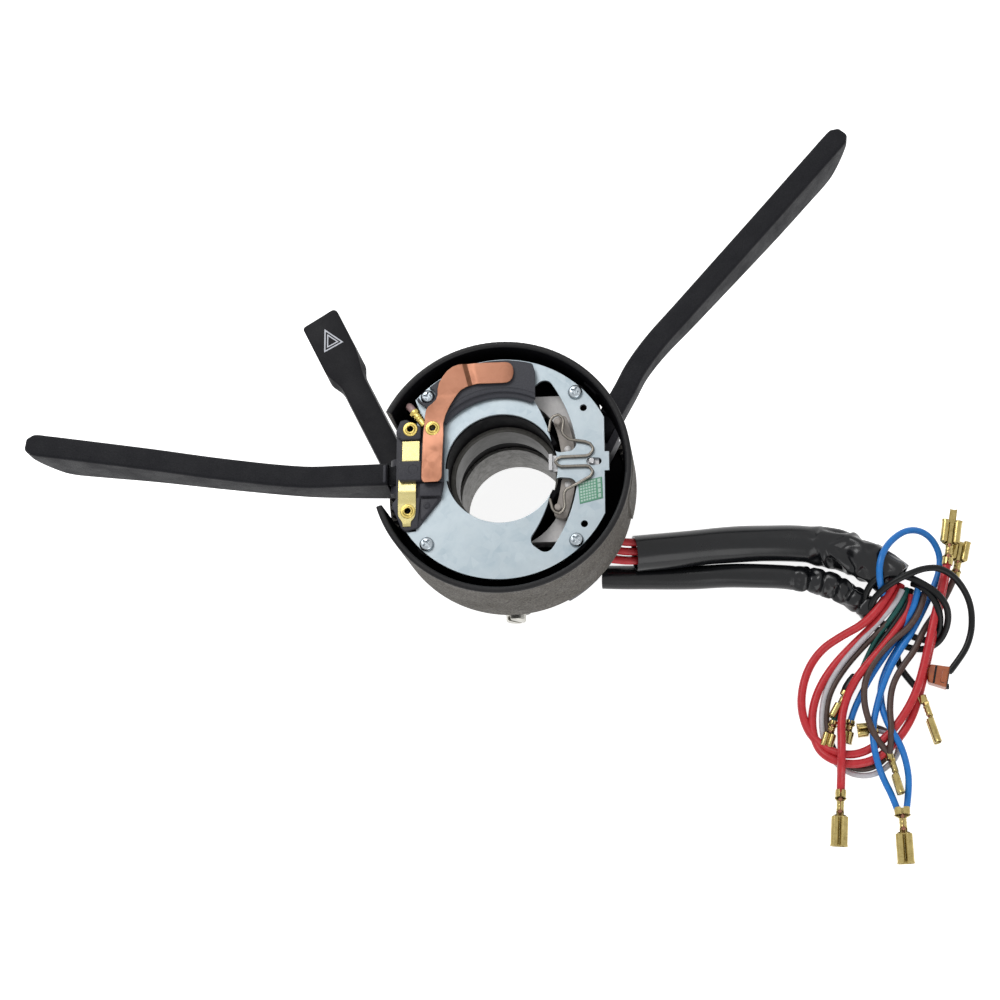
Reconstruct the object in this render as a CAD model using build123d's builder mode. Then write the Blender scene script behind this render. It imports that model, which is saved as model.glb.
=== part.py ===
"""Combination stalk switch for a steering column, as separate parts in one frame.

Millimetres. +Z is the column axis and points at the driver, +X is to the driver's right and +Y is up.
The origin is the centre of the clamp collar's bore at its rear end.
"""
from build123d import *
import math
import os

os.makedirs("parts", exist_ok=True)

# ------------------------------------------------------------------ driving sizes
FIT_GAP = 0.05          # radial room of a pin in its bore
SEAT_GAP = 0.05         # room round a piece that stays put in its seat
SLIDE_GAP = 0.3         # room between pieces that slide past each other

# clamp collar on the column tube
BORE_RADIUS = 19.5
COLLAR_WALL = 4.5
COLLAR_LENGTH = 22.6
COLLAR_FLANGE_RADIUS = 31.0
COLLAR_FLANGE = 3.0
CLAMP_SCREW_HEIGHT = 10.0
CLAMP_SCREW_RADIUS = 2.5
CLAMP_HEAD_RADIUS = 3.8
CLAMP_HEAD_LENGTH = 3.5
CLAMP_REACH = 45.6       # from the column axis to the outside of the screw's head
CLAMP_BOSS_RADIUS = 5.5
COLLAR_SCREW_RING = 27.8

# round housing
REAR_Z = COLLAR_LENGTH
BACK_RADIUS = 46.5
RIM_RADIUS = 48.3
RIM_Z = REAR_Z + 43.9
WALL = 2.3
FLOOR = 2.6
HUB_INNER_RADIUS = 20.6
HUB_WALL = 1.9
BACK_ROUNDING = 3.0
TURN_WINDOW = (152.5, 197.5)      # degrees round the axis, open to the rim
TURN_WINDOW_SILL = REAR_Z + 6.4
WIPER_WINDOW = (14.0, 45.5)
WIPER_WINDOW_Z = (REAR_Z + 4.0, REAR_Z + 26.4)
GRIP_PAD = (-15.5, 13.5)          # raised pad on the outside of the wall
GRIP_PAD_Z = (REAR_Z + 11.4, REAR_Z + 37.4)
GRIP_PAD_PROUD = 1.3

# stepped ring inside the hub
RING_INNER_RADIUS = 18.8
RING_Z = (REAR_Z + 11.4, REAR_Z + 25.4)

# steel base plate
PLATE_Z = RIM_Z - 5.4
PLATE = 1.5
PLATE_RADIUS = 42.3
PLATE_HOLE_RADIUS = 20.9
PLATE_RIGHT_EDGE = 38.1
PLATE_TAB = (39.8, 7.3)           # how far the tab reaches, and how wide it is
PLATE_NOTCH = (-31.5, -23.4, 19.5)
AXIS_Y = 1.5                      # height of the cancelling finger's line above the column axis
SCREW_X = 27.5
SCREW_Y = 28.4
SCREW_RADIUS = 1.45
SCREW_HEAD_RADIUS = 2.7
SCREW_HEAD = 1.9
POST_RADIUS = 3.75
SMALL_HOLE_RADIUS = 1.3
SMALL_HOLES = (30.5, 22.3)
PLATE_TOP = PLATE_Z + PLATE

# turn switch: the carrier swings on a pin left of the bore
TURN_PIVOT = (-28.0, 0.5)
TURN_LINE_Y = 0.9                 # the stalk's own line, beside the pivot
TURN_PIN_RADIUS = 2.0
TURN_ANGLE = 9.0
CARRIER_Z = (PLATE_Z - 17.1, PLATE_Z - 5.1)
CARRIER_SPAN_Z = (PLATE_Z - 12.6, CARRIER_Z[1])
CARRIER_REACH = 57.5              # from the pivot to the outer edge
CARRIER_HALF_ANGLE = 36.0
TURN_HINGE_X = -38.5
TURN_HINGE_Z = PLATE_Z - 11.1
HINGE_PIN_RADIUS = 1.5
TONGUE = 7.0                      # width of a stalk's tongue between the fork's ears
TONGUE_DEPTH = 9.0
EAR = 2.8
EAR_RADIUS = 4.5
STALK_ROOT = 4.8                  # from a hinge pin to the face of the stalk's blade

# cancelling gear under the plate
PAWL_Z = (CARRIER_Z[1] + SLIDE_GAP, PLATE_Z - 1.4)
PAWL_BAND = (50.2, 55.4)          # distance from the turn pivot
PAWL_ANGLES = (4.6, 21.5)
PAWL_POST_ANGLE = 7.4
PAWL_PIN_ANGLE = 18.6
PAWL_PIN_RADIUS = 1.25
PAWL_POST_RADIUS = 1.3
SLOT_BAND = (47.4, 56.4)
SLOT_ANGLES = (5.5, 37.5)
FINGER_Z = (PLATE_Z - 1.1, PLATE_Z - 0.1)
FINGER_WIDTH = 6.2
FINGER_NOSE = (17.6, 18.9)
FINGER_END = 36.0
FINGER_PIN_X = 33.4
FINGER_PIN_RADIUS = 1.15
FINGER_SLOT = (31.4, 37.0)
FINGER_TRAVEL = 1.2
NOTCH_REACH = FINGER_NOSE[1] - FINGER_NOSE[0] + FINGER_TRAVEL + 1.3
NOTCH_WIDTH = FINGER_WIDTH + 2 * SLIDE_GAP
WIRE_RADIUS = 0.5                 # cancelling spring wire

# stalks
FACE_CORNER = 1.3                 # rounding along a stalk's flat face
BACK_CORNER = 3.4                 # rounding along its back
# Each station of a blade: x, y and height over its hinge of the middle of its flat face, depth,
# half width of the face, half width of the back.
TURN_STATIONS = [
    (-43.3, 0.9, 7.0, 19.2, 4.2, 5.0),
    (-59.3, 0.8, 7.0, 17.0, 4.2, 4.9),
    (-76.0, 1.0, 7.0, 14.2, 4.2, 4.8),
    (-104.8, 4.6, 7.9, 14.8, 4.2, 4.9),
    (-134.2, 9.3, 9.1, 17.0, 4.2, 5.2),
    (-156.5, 12.7, 9.9, 20.0, 4.2, 5.3),
    (-168.0, 14.4, 10.4, 20.6, 4.2, 5.3),
    (-173.5, 15.2, 10.6, 16.4, 4.2, 5.0),
    (-178.8, 16.0, 10.8, 9.0, 4.0, 4.4),
    (-181.0, 16.3, 10.4, 5.6, 2.8, 3.0),
]
WIPER_STATIONS = [
    (38.95, 24.97, 6.5, 11.5, 4.1, 4.6),
    (44.6, 34.9, 6.5, 10.8, 4.1, 4.6),
    (49.3, 43.7, 6.5, 10.8, 4.1, 4.6),
    (56.6, 53.6, 6.8, 12.0, 4.1, 4.7),
    (67.5, 65.6, 7.5, 14.0, 4.1, 4.8),
    (98.7, 100.0, 9.5, 18.0, 4.1, 5.2),
    (113.3, 116.2, 10.5, 19.0, 4.1, 5.2),
    (121.5, 125.3, 11.1, 19.0, 4.1, 5.1),
    (125.2, 129.4, 11.3, 14.0, 4.1, 4.9),
    (128.2, 132.7, 11.4, 7.4, 3.9, 4.3),
    (129.5, 134.2, 11.0, 4.8, 2.7, 3.0),
]

# wiper switch: the carrier swings on a pin right of the bore
WIPER_PIVOT = (31.2, 9.5)
WIPER_DIRECTION = 63.4
WIPER_PIN_RADIUS = 2.0
WIPER_CARRIER_Z = (REAR_Z + 6.4, REAR_Z + 20.4)
WIPER_BOSS_RADIUS = 5.5
WIPER_HINGE_REACH = 12.5
WIPER_HINGE_Z = REAR_Z + 15.9

# hazard lever
HAZARD_PIVOT = (-36.7, -2.7)
HAZARD_DIRECTION = 116.6
HAZARD_Z = (REAR_Z + 9.4, REAR_Z + 13.4)
HAZARD_STEM = 10.6
HAZARD_SWING = 12.0
HAZARD_WAY = HAZARD_STEM + 6.4      # width of its way out through the wall
HAZARD_PADDLE = 15.0
HAZARD_LENGTH = 82.5
HAZARD_PIN_RADIUS = 2.0
HAZARD_HUB_RADIUS = 5.6

# contacts on the plate
CONTACT_BASE_Z = PLATE_Z - 1.5
STRIP = 0.5
COPPER_Z = PLATE_Z + 5.2
BRASS_Z = PLATE_Z + 2.9
EYELET_RADIUS = 2.75
EYELET_BORE = 1.1
EYELET_BARREL = 1.6
EYELETS = {"upper": (-33.6, 15.2), "copper": (-25.1, 14.9), "lower": (-34.4, -16.1)}
ARC_BLOCK_BAND = (27.0, 41.2)
ARC_BLOCK_END_X = 12.9
ARC_BLOCK_TOP = PLATE_TOP + 3.0

# sockets for the wires under the housing's floor
SOCKET_BAND = (31.7, 43.0)
SOCKET_ANGLES = (-62.0, -20.0)
SOCKET_Z = 9.0

# harness, lying on the floor that the collar's rear end stands on
LARGE_SLEEVE = 7.0
SMALL_SLEEVE = 4.4
THICK_LEAD = 1.6
THIN_LEAD = 1.3
HANK_HEIGHT = 11.0
HANK_OUTLINE = [
    (130.5, -20.5), (139, -21.5), (158.5, -44), (156.2, -59), (139.3, -98.5), (131, -105),
    (120, -101.5), (107, -87), (106.5, -77), (116, -60), (124, -56.5), (129.5, -46),
]
ROUTES = {
    "sleeve_large": (LARGE_SLEEVE, [
        (46, -21.2, 14.5), (63, -19.1, 11), (82, -16.6, 7.6), (104, -16.4, 7.2), (121, -19.6, 7.2),
        (132.5, -25.4, 7.2), (140.8, -33.2, 7.2),
    ]),
    "sleeve_small": (SMALL_SLEEVE, [
        (33, -27.4, 4.6), (58, -28.7, 4.6), (92, -28.1, 4.6), (114.5, -31, 4.6), (125.5, -35.5, 4.6),
        (135, -43.6, 4.6),
    ]),
    "blue_loop": (THIN_LEAD, [
        (144.9, -32.6, 10.8), (145.3, -28.2, 12.6), (146.6, -22.2, 12.0), (149.8, -16.2, 9.0),
        (154.7, -13.6, 5.3), (159.4, -15.4, 2.6), (162.0, -21.4, 1.4), (161.6, -27.6, 1.4),
        (159.0, -34.3, 1.4), (156.0, -40.7, 2.6), (153.5, -45.6, 4.5),
    ]),
    "black_loop": (THIN_LEAD, [
        (141.5, -35.2, 7.6), (148.0, -34.6, 9.8), (154.5, -31.2, 12.4), (161.0, -29.8, 13.0),
        (167.5, -33.5, 11.0),
        (172.3, -41.0, 5.0), (172.8, -49.9, 1.5), (170.6, -57.3, 1.5), (167.4, -62.2, 1.5),
        (163.6, -67.0, 1.5),
    ]),
    "red_top": (THICK_LEAD, [
        (155.2, -59.0, 3.2), (159.0, -48.8, 7.0), (162.4, -37.6, 7.0), (164.3, -26.0, 7.0),
    ]),
    "brown_top": (THIN_LEAD, [
        (156.2, -50.6, 1.4), (161.5, -44.5, 1.4), (165.6, -37.5, 1.4), (167.4, -29.8, 1.4),
    ]),
    "black_tail": (THIN_LEAD, [
        (149.0, -69.6, 1.8), (151.4, -73.4, 1.8), (152.7, -77.8, 1.8),
    ]),
    "red_low": (THICK_LEAD, [
        (122.6, -95.6, 1.8), (121.5, -104.1, 1.8), (120.9, -112.6, 1.8),
    ]),
    "blue_low_a": (THIN_LEAD, [
        (133.9, -98.0, 1.6), (136.6, -106.0, 1.6), (140.2, -112.8, 1.6), (141.7, -119.6, 1.6),
    ]),
    "blue_low_b": (THIN_LEAD, [
        (142.0, -88.0, 1.6), (145.3, -97.5, 1.6), (146.6, -108.5, 1.6), (144.9, -119.4, 1.6),
    ]),
}


def keep(piece, name):
    """Labels a finished piece and writes it to its own file."""
    piece.label = name
    export_step(piece, f"parts/{name}.step")


def polar(radius, angle, centre=(0, 0)):
    """The point at a radius and an angle in degrees round a centre."""
    a = math.radians(angle)
    return (centre[0] + radius * math.cos(a), centre[1] + radius * math.sin(a))


def outer_radius(z):
    """The housing wall's outside radius at a height: the wall is drafted."""
    return BACK_RADIUS + (RIM_RADIUS - BACK_RADIUS) * (z - REAR_Z) / (RIM_Z - REAR_Z)


def sector(inner, outer, start, end, centre=(0, 0)):
    """A flat band of a ring, for adding to a sketch."""
    middle = (start + end) / 2
    with BuildSketch(mode=Mode.PRIVATE) as band:
        with BuildLine():
            a = ThreePointArc(
                polar(outer, start, centre), polar(outer, middle, centre), polar(outer, end, centre)
            )
            b = ThreePointArc(
                polar(inner, start, centre), polar(inner, middle, centre), polar(inner, end, centre)
            )
            Line(a @ 0, b @ 0)
            Line(a @ 1, b @ 1)
        make_face()
    return band.sketch


# ------------------------------------------------------------------ clamp collar
HUB_OUTER_RADIUS = HUB_INNER_RADIUS + HUB_WALL
CLAMP_HEAD_SEAT = CLAMP_REACH - CLAMP_HEAD_LENGTH
COLLAR_SCREW_ANGLES = (90, 210, 330)

with BuildPart() as clamp_collar:
    with BuildSketch(Plane.XZ):
        with BuildLine():
            Polyline(
                (BORE_RADIUS, 0),
                (BORE_RADIUS + COLLAR_WALL, 0),
                (BORE_RADIUS + COLLAR_WALL, COLLAR_LENGTH - COLLAR_FLANGE),
                (COLLAR_FLANGE_RADIUS, COLLAR_LENGTH - COLLAR_FLANGE),
                (COLLAR_FLANGE_RADIUS, COLLAR_LENGTH),
                (BORE_RADIUS, COLLAR_LENGTH),
                close=True,
            )
        make_face()
    revolve(axis=Axis.Z)
    with BuildSketch(Plane.XZ.offset(BORE_RADIUS + COLLAR_WALL / 2)):
        with Locations((0, CLAMP_SCREW_HEIGHT)):
            Circle(CLAMP_BOSS_RADIUS)
    extrude(amount=CLAMP_HEAD_SEAT - BORE_RADIUS - COLLAR_WALL / 2)
    with BuildSketch(Plane.XZ.offset(BORE_RADIUS + COLLAR_WALL / 2)):
        with Locations((0, (CLAMP_SCREW_HEIGHT + COLLAR_LENGTH) / 2)):
            Rectangle(2 * CLAMP_SCREW_RADIUS, COLLAR_LENGTH - CLAMP_SCREW_HEIGHT)
    extrude(amount=COLLAR_FLANGE_RADIUS - BORE_RADIUS - COLLAR_WALL / 2)
    with BuildSketch(Plane.XZ.offset(BORE_RADIUS - 3)):
        with Locations((0, CLAMP_SCREW_HEIGHT)):
            Circle(CLAMP_SCREW_RADIUS + SEAT_GAP)
    extrude(amount=CLAMP_REACH, mode=Mode.SUBTRACT)
    with BuildSketch(Plane.XY.offset(COLLAR_LENGTH - COLLAR_FLANGE)):
        with Locations([polar(COLLAR_SCREW_RING, a) for a in COLLAR_SCREW_ANGLES]):
            Circle(SCREW_RADIUS + SEAT_GAP)
    extrude(amount=COLLAR_FLANGE, mode=Mode.SUBTRACT)
    rear_edges = clamp_collar.edges().filter_by(GeomType.CIRCLE).group_by(Axis.Z)[0]
    chamfer(rear_edges.sort_by(SortBy.RADIUS)[-1], 0.6)
keep(clamp_collar.part, "clamp_collar")

# The clamp screw points at the column tube and ends just short of the bore.
with BuildPart() as clamp_screw:
    with BuildSketch(Plane.XZ.offset(CLAMP_HEAD_SEAT)):
        with Locations((0, CLAMP_SCREW_HEIGHT)):
            Circle(CLAMP_HEAD_RADIUS)
    extrude(amount=CLAMP_HEAD_LENGTH)
    fillet(clamp_screw.edges().filter_by(GeomType.CIRCLE).group_by(Axis.Y)[0], 0.6)
    with BuildSketch(Plane.XZ.offset(BORE_RADIUS + 0.1)):
        with Locations((0, CLAMP_SCREW_HEIGHT)):
            Circle(CLAMP_SCREW_RADIUS)
    extrude(amount=CLAMP_HEAD_SEAT - BORE_RADIUS - 0.1)
    with BuildSketch(Plane.XZ.offset(CLAMP_REACH - 1.7)):
        with Locations(Location((0, CLAMP_SCREW_HEIGHT, 0), (0, 0, 40))):
            Rectangle(1.3, 2 * CLAMP_HEAD_RADIUS + 1)
    extrude(amount=2, mode=Mode.SUBTRACT)
keep(clamp_screw.part, "clamp_screw")


def pan_head_screws(places, seat_z, up, shank):
    """Pan-head cross-recess screws with their heads on seat_z, driven down (up=1) or up (up=-1)."""
    with BuildPart() as screws:
        with BuildSketch(Plane.XY.offset(seat_z)):
            with Locations(places):
                Circle(SCREW_HEAD_RADIUS)
        extrude(amount=up * SCREW_HEAD)
        tops = screws.edges().filter_by(GeomType.CIRCLE).group_by(Axis.Z)[-1 if up > 0 else 0]
        fillet(tops, 0.8)
        with BuildSketch(Plane.XY.offset(seat_z + up * SCREW_HEAD)):
            with Locations(places):
                Rectangle(3.0, 0.75)
                Rectangle(0.75, 3.0)
        extrude(amount=-up * 1.0, mode=Mode.SUBTRACT)
        with BuildSketch(Plane.XY.offset(seat_z)):
            with Locations(places):
                Circle(SCREW_RADIUS)
        extrude(amount=-up * shank)
    return screws.part


COLLAR_SCREW_SHANK = COLLAR_FLANGE + FLOOR - 0.4
keep(
    pan_head_screws(
        [polar(COLLAR_SCREW_RING, a) for a in COLLAR_SCREW_ANGLES],
        COLLAR_LENGTH - COLLAR_FLANGE,
        -1,
        COLLAR_SCREW_SHANK,
    ),
    "collar_screws",
)

# ------------------------------------------------------------------ housing
POSTS = [(x, y) for x in (-SCREW_X, SCREW_X) for y in (-SCREW_Y, SCREW_Y)]
FLOOR_Z = REAR_Z + FLOOR
PLATE_SCREW_SHANK = 9.0
HUB_GAP = 24.0                    # half angle of the hub's gap for the cancelling gear

with BuildPart() as housing_shell:
    with BuildSketch(Plane.XZ):
        with BuildLine():
            Polyline(
                (HUB_INNER_RADIUS, REAR_Z),
                (BACK_RADIUS, REAR_Z),
                (RIM_RADIUS, RIM_Z),
                (RIM_RADIUS - WALL, RIM_Z),
                (BACK_RADIUS - WALL, FLOOR_Z),
                (HUB_OUTER_RADIUS, FLOOR_Z),
                (HUB_OUTER_RADIUS, PLATE_Z),
                (HUB_INNER_RADIUS, PLATE_Z),
                close=True,
            )
        make_face()
    revolve(axis=Axis.Z)
    back_edges = housing_shell.edges().filter_by(GeomType.CIRCLE).group_by(Axis.Z)[0]
    fillet(back_edges.sort_by(SortBy.RADIUS)[-1], BACK_ROUNDING)
    rim_edges = housing_shell.edges().filter_by(GeomType.CIRCLE).group_by(Axis.Z)[-1]
    fillet(rim_edges, 0.8)
    with BuildSketch(Plane.XY.offset(GRIP_PAD_Z[0])):
        pad_outer = outer_radius(GRIP_PAD_Z[0]) + GRIP_PAD_PROUD
        add(sector(BACK_RADIUS - WALL / 2, pad_outer, *GRIP_PAD))
    extrude(amount=GRIP_PAD_Z[1] - GRIP_PAD_Z[0])
    with BuildSketch(Plane.XY.offset(FLOOR_Z)):
        with Locations(POSTS):
            Circle(POST_RADIUS)
    extrude(amount=PLATE_Z - FLOOR_Z)
    with BuildSketch(Plane.XY.offset(FLOOR_Z)):
        with Locations(TURN_PIVOT, WIPER_PIVOT, HAZARD_PIVOT):
            Circle(WIPER_BOSS_RADIUS - 1)
    extrude(amount=1.5)
    # windows, the gap in the hub, and the blind holes for screws and pins
    with BuildSketch(Plane.XY.offset(TURN_WINDOW_SILL)):
        add(sector(BACK_RADIUS - 2 * WALL, RIM_RADIUS + 2, *TURN_WINDOW))
    extrude(amount=RIM_Z - TURN_WINDOW_SILL + 1, mode=Mode.SUBTRACT)
    with BuildSketch(Plane.XY.offset(HAZARD_Z[0] - 2 * SLIDE_GAP)):
        with Locations(Location((*HAZARD_PIVOT, 0), (0, 0, HAZARD_DIRECTION + HAZARD_SWING / 2))):
            Rectangle(RIM_RADIUS, HAZARD_WAY, align=(Align.MIN, Align.CENTER))
    extrude(amount=HAZARD_Z[1] - HAZARD_Z[0] + 4 * SLIDE_GAP, mode=Mode.SUBTRACT)
    with BuildSketch(Plane.XY.offset(WIPER_WINDOW_Z[0])):
        add(sector(BACK_RADIUS - 2 * WALL, RIM_RADIUS + 2, *WIPER_WINDOW))
    extrude(amount=WIPER_WINDOW_Z[1] - WIPER_WINDOW_Z[0], mode=Mode.SUBTRACT)
    with BuildSketch(Plane.XY.offset(CARRIER_Z[1] - 0.1)):
        add(sector(HUB_INNER_RADIUS - 1, HUB_OUTER_RADIUS + 1, -HUB_GAP, HUB_GAP))
    extrude(amount=PLATE_Z, mode=Mode.SUBTRACT)
    with BuildSketch(Plane.XY.offset(PLATE_Z)):
        with Locations(POSTS):
            Circle(SCREW_RADIUS + SEAT_GAP)
    extrude(amount=-PLATE_SCREW_SHANK - 1, mode=Mode.SUBTRACT)
    with BuildSketch(Plane.XY.offset(REAR_Z)):
        with Locations([polar(COLLAR_SCREW_RING, a) for a in COLLAR_SCREW_ANGLES]):
            Circle(SCREW_RADIUS + SEAT_GAP)
    extrude(amount=FLOOR, mode=Mode.SUBTRACT)
    with BuildSketch(Plane.XY.offset(FLOOR_Z - 1.5)):
        with Locations(TURN_PIVOT, WIPER_PIVOT, HAZARD_PIVOT):
            Circle(TURN_PIN_RADIUS + SEAT_GAP)
    extrude(amount=5, mode=Mode.SUBTRACT)
keep(housing_shell.part, "housing_shell")

with BuildPart() as bearing_ring:
    with BuildSketch(Plane.XZ):
        with BuildLine():
            Polyline(
                (RING_INNER_RADIUS, RING_Z[0]),
                (HUB_INNER_RADIUS - SEAT_GAP, RING_Z[0]),
                (HUB_INNER_RADIUS - SEAT_GAP, RING_Z[1]),
                (RING_INNER_RADIUS + 0.6, RING_Z[1]),
                (RING_INNER_RADIUS, RING_Z[1] - 0.6),
                close=True,
            )
        make_face()
    revolve(axis=Axis.Z)
keep(bearing_ring.part, "bearing_ring")

# ------------------------------------------------------------------ base plate
with BuildPart() as base_plate:
    with BuildSketch(Plane.XY.offset(PLATE_Z)):
        Circle(PLATE_RADIUS)
        with Locations((PLATE_RIGHT_EDGE, 0)):
            Rectangle(20, 3 * PLATE_RADIUS, align=(Align.MIN, Align.CENTER), mode=Mode.SUBTRACT)
        with Locations((PLATE_TAB[0], AXIS_Y)):
            Rectangle(6, PLATE_TAB[1], align=(Align.MAX, Align.CENTER))
        Circle(PLATE_HOLE_RADIUS, mode=Mode.SUBTRACT)
        with Locations((FINGER_NOSE[0] - 1, AXIS_Y)):
            Rectangle(NOTCH_REACH, NOTCH_WIDTH, align=(Align.MIN, Align.CENTER), mode=Mode.SUBTRACT)
        with Locations((-PLATE_HOLE_RADIUS - 1, -2)):
            Rectangle(2.1, 4.6, align=(Align.MIN, Align.CENTER))
        with BuildLine():
            Polyline(
                (PLATE_NOTCH[0], PLATE_NOTCH[1]),
                (PLATE_NOTCH[0], PLATE_NOTCH[2]),
                (PLATE_NOTCH[0] + 1, PLATE_NOTCH[2] + 3.5),
                (PLATE_NOTCH[0] - 3, PLATE_NOTCH[2] + 13.5),
                (-50, PLATE_NOTCH[2] + 13.5),
                (-50, PLATE_NOTCH[1]),
                close=True,
            )
        make_face(mode=Mode.SUBTRACT)
        with Locations(((FINGER_SLOT[0] + FINGER_SLOT[1]) / 2, AXIS_Y)):
            SlotOverall(FINGER_SLOT[1] - FINGER_SLOT[0], 2 * (FINGER_PIN_RADIUS + 0.2), mode=Mode.SUBTRACT)
        with Locations(POSTS):
            Circle(SCREW_RADIUS + 0.25, mode=Mode.SUBTRACT)
        with Locations((SMALL_HOLES[0], SMALL_HOLES[1]), (SMALL_HOLES[0], -SMALL_HOLES[1])):
            Circle(SMALL_HOLE_RADIUS, mode=Mode.SUBTRACT)
    extrude(amount=PLATE)
    for side in (1, -1):
        with BuildSketch(Plane.XY.offset(PLATE_Z)) as slot:
            add(sector(*SLOT_BAND, side * SLOT_ANGLES[0], side * SLOT_ANGLES[1], TURN_PIVOT))
            fillet(slot.vertices(), 3.2)
        extrude(amount=PLATE, mode=Mode.SUBTRACT)
keep(base_plate.part, "base_plate")

keep(pan_head_screws(POSTS, PLATE_TOP, 1, PLATE + PLATE_SCREW_SHANK), "plate_screws")


# ------------------------------------------------------------------ turn switch
HINGE_BORE = HINGE_PIN_RADIUS + FIT_GAP
FORK_INSIDE = TONGUE / 2 + SLIDE_GAP
FORK_OUTSIDE = FORK_INSIDE + EAR
EAR_ROOT = 10.0                   # how far the fork reaches back from its hinge
FORK_CLEAR = EAR_RADIUS + 0.8     # depth of the fork's gap behind the hinge
HUB_CLEARANCE = 23.3
HUB_SWING = (-0.45, 6.0)          # where the hub's centre goes, seen from the swinging carrier
CARRIER_TIP = polar(CARRIER_REACH, CARRIER_HALF_ANGLE, TURN_PIVOT)
MIRROR_Y = 2 * TURN_PIVOT[1]

with BuildPart() as turn_carrier:
    with BuildSketch(Plane.XY.offset(CARRIER_SPAN_Z[0])):
        with BuildLine():
            ThreePointArc(
                CARRIER_TIP,
                (TURN_PIVOT[0] + CARRIER_REACH, TURN_PIVOT[1]),
                (CARRIER_TIP[0], MIRROR_Y - CARRIER_TIP[1]),
            )
            Polyline(
                CARRIER_TIP,
                (-6, 36.5),
                (-12.5, 32),
                (-18.5, 22),
                (-31, 8),
                (-31, MIRROR_Y - 8),
                (-18.5, MIRROR_Y - 22),
                (-12.5, MIRROR_Y - 32),
                (-6, MIRROR_Y - 36.5),
                (CARRIER_TIP[0], MIRROR_Y - CARRIER_TIP[1]),
            )
        make_face()
        with Locations((HUB_SWING[0], HUB_SWING[1]), (HUB_SWING[0], -HUB_SWING[1])):
            Circle(HUB_CLEARANCE, mode=Mode.SUBTRACT)
        with Locations((HUB_SWING[0], 0)):
            Rectangle(2 * HUB_CLEARANCE, 2 * HUB_SWING[1], mode=Mode.SUBTRACT)
    extrude(amount=CARRIER_SPAN_Z[1] - CARRIER_SPAN_Z[0])
    with BuildSketch(Plane.XY.offset(CARRIER_Z[0])):
        with Locations(TURN_PIVOT):
            Circle(6.5)
        with Locations((HUB_SWING[0], TURN_PIVOT[1])):
            Circle(HUB_CLEARANCE, mode=Mode.SUBTRACT)
    extrude(amount=CARRIER_Z[1] - CARRIER_Z[0])
    with BuildSketch(Plane.XZ.offset(-TURN_LINE_Y - FORK_OUTSIDE)):
        with Locations((TURN_HINGE_X, TURN_HINGE_Z)):
            Circle(EAR_RADIUS)
            Rectangle(EAR_ROOT, 2 * EAR_RADIUS, align=(Align.MIN, Align.CENTER))
    extrude(amount=2 * FORK_OUTSIDE)
    with BuildSketch(Plane.XY.offset(CARRIER_Z[0] - 1)):
        with Locations((TURN_HINGE_X + FORK_CLEAR, TURN_LINE_Y)):
            Rectangle(20, 2 * FORK_INSIDE, align=(Align.MAX, Align.CENTER))
    extrude(amount=CARRIER_Z[1] - CARRIER_Z[0] + 2, mode=Mode.SUBTRACT)
    with BuildSketch(Plane.XZ.offset(-TURN_LINE_Y - FORK_OUTSIDE)):
        with Locations((TURN_HINGE_X, TURN_HINGE_Z)):
            Circle(HINGE_BORE)
    extrude(amount=2 * FORK_OUTSIDE, mode=Mode.SUBTRACT)
    with BuildSketch(Plane.XY.offset(CARRIER_Z[0])):
        with Locations(TURN_PIVOT):
            Circle(TURN_PIN_RADIUS + FIT_GAP)
    extrude(amount=CARRIER_Z[1] - CARRIER_Z[0], mode=Mode.SUBTRACT)
    # posts that the two pawls turn on
    with BuildSketch(Plane.XY.offset(CARRIER_Z[1])):
        pawl_post = (PAWL_BAND[0] + PAWL_BAND[1]) / 2
        with Locations([polar(pawl_post, s * PAWL_POST_ANGLE, TURN_PIVOT) for s in (1, -1)]):
            Circle(PAWL_POST_RADIUS)
    extrude(amount=PAWL_Z[1] - CARRIER_Z[1] + 0.1)
keep(turn_carrier.part, "turn_carrier")


def upright_pin(place, bottom, top, radius, name):
    """A plain pin parallel to the column."""
    with BuildPart() as pin:
        with BuildSketch(Plane.XY.offset(bottom)):
            with Locations(place):
                Circle(radius)
        extrude(amount=top - bottom)
    keep(pin.part, name)


upright_pin(TURN_PIVOT, FLOOR_Z - 1.5, PLATE_Z, TURN_PIN_RADIUS, "turn_pivot_pin")

with BuildPart() as turn_flash_pin:
    with BuildSketch(Plane.XZ.offset(-TURN_LINE_Y - FORK_OUTSIDE)):
        with Locations((TURN_HINGE_X, TURN_HINGE_Z)):
            Circle(HINGE_PIN_RADIUS)
    extrude(amount=2 * FORK_OUTSIDE)
keep(turn_flash_pin.part, "turn_flash_pin")


def pawl(side, name):
    """A cancelling pawl: a flat arc with a bore at one end and an upright pin near the other."""
    middle = (PAWL_BAND[0] + PAWL_BAND[1]) / 2
    with BuildPart() as arm:
        with BuildSketch(Plane.XY.offset(PAWL_Z[0])) as flat:
            add(sector(*PAWL_BAND, side * PAWL_ANGLES[0], side * PAWL_ANGLES[1], TURN_PIVOT))
            fillet(flat.vertices(), 1.6)
            with Locations(polar(middle, side * PAWL_POST_ANGLE, TURN_PIVOT)):
                Circle(PAWL_POST_RADIUS + FIT_GAP, mode=Mode.SUBTRACT)
        extrude(amount=PAWL_Z[1] - PAWL_Z[0])
        with BuildSketch(Plane.XY.offset(PAWL_Z[1])):
            with Locations(polar(PAWL_PIN_REACH, side * PAWL_PIN_ANGLE, TURN_PIVOT)):
                Circle(PAWL_PIN_RADIUS)
        extrude(amount=PAWL_PIN_TOP - PAWL_Z[1])
        chamfer(arm.edges().filter_by(GeomType.CIRCLE).group_by(Axis.Z)[-1], 0.3)
    keep(arm.part, name)


PAWL_PIN_REACH = 51.6
PAWL_PIN_TOP = PLATE_TOP + 1.8
pawl(1, "cancel_pawl_upper")
pawl(-1, "cancel_pawl_lower")

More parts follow.
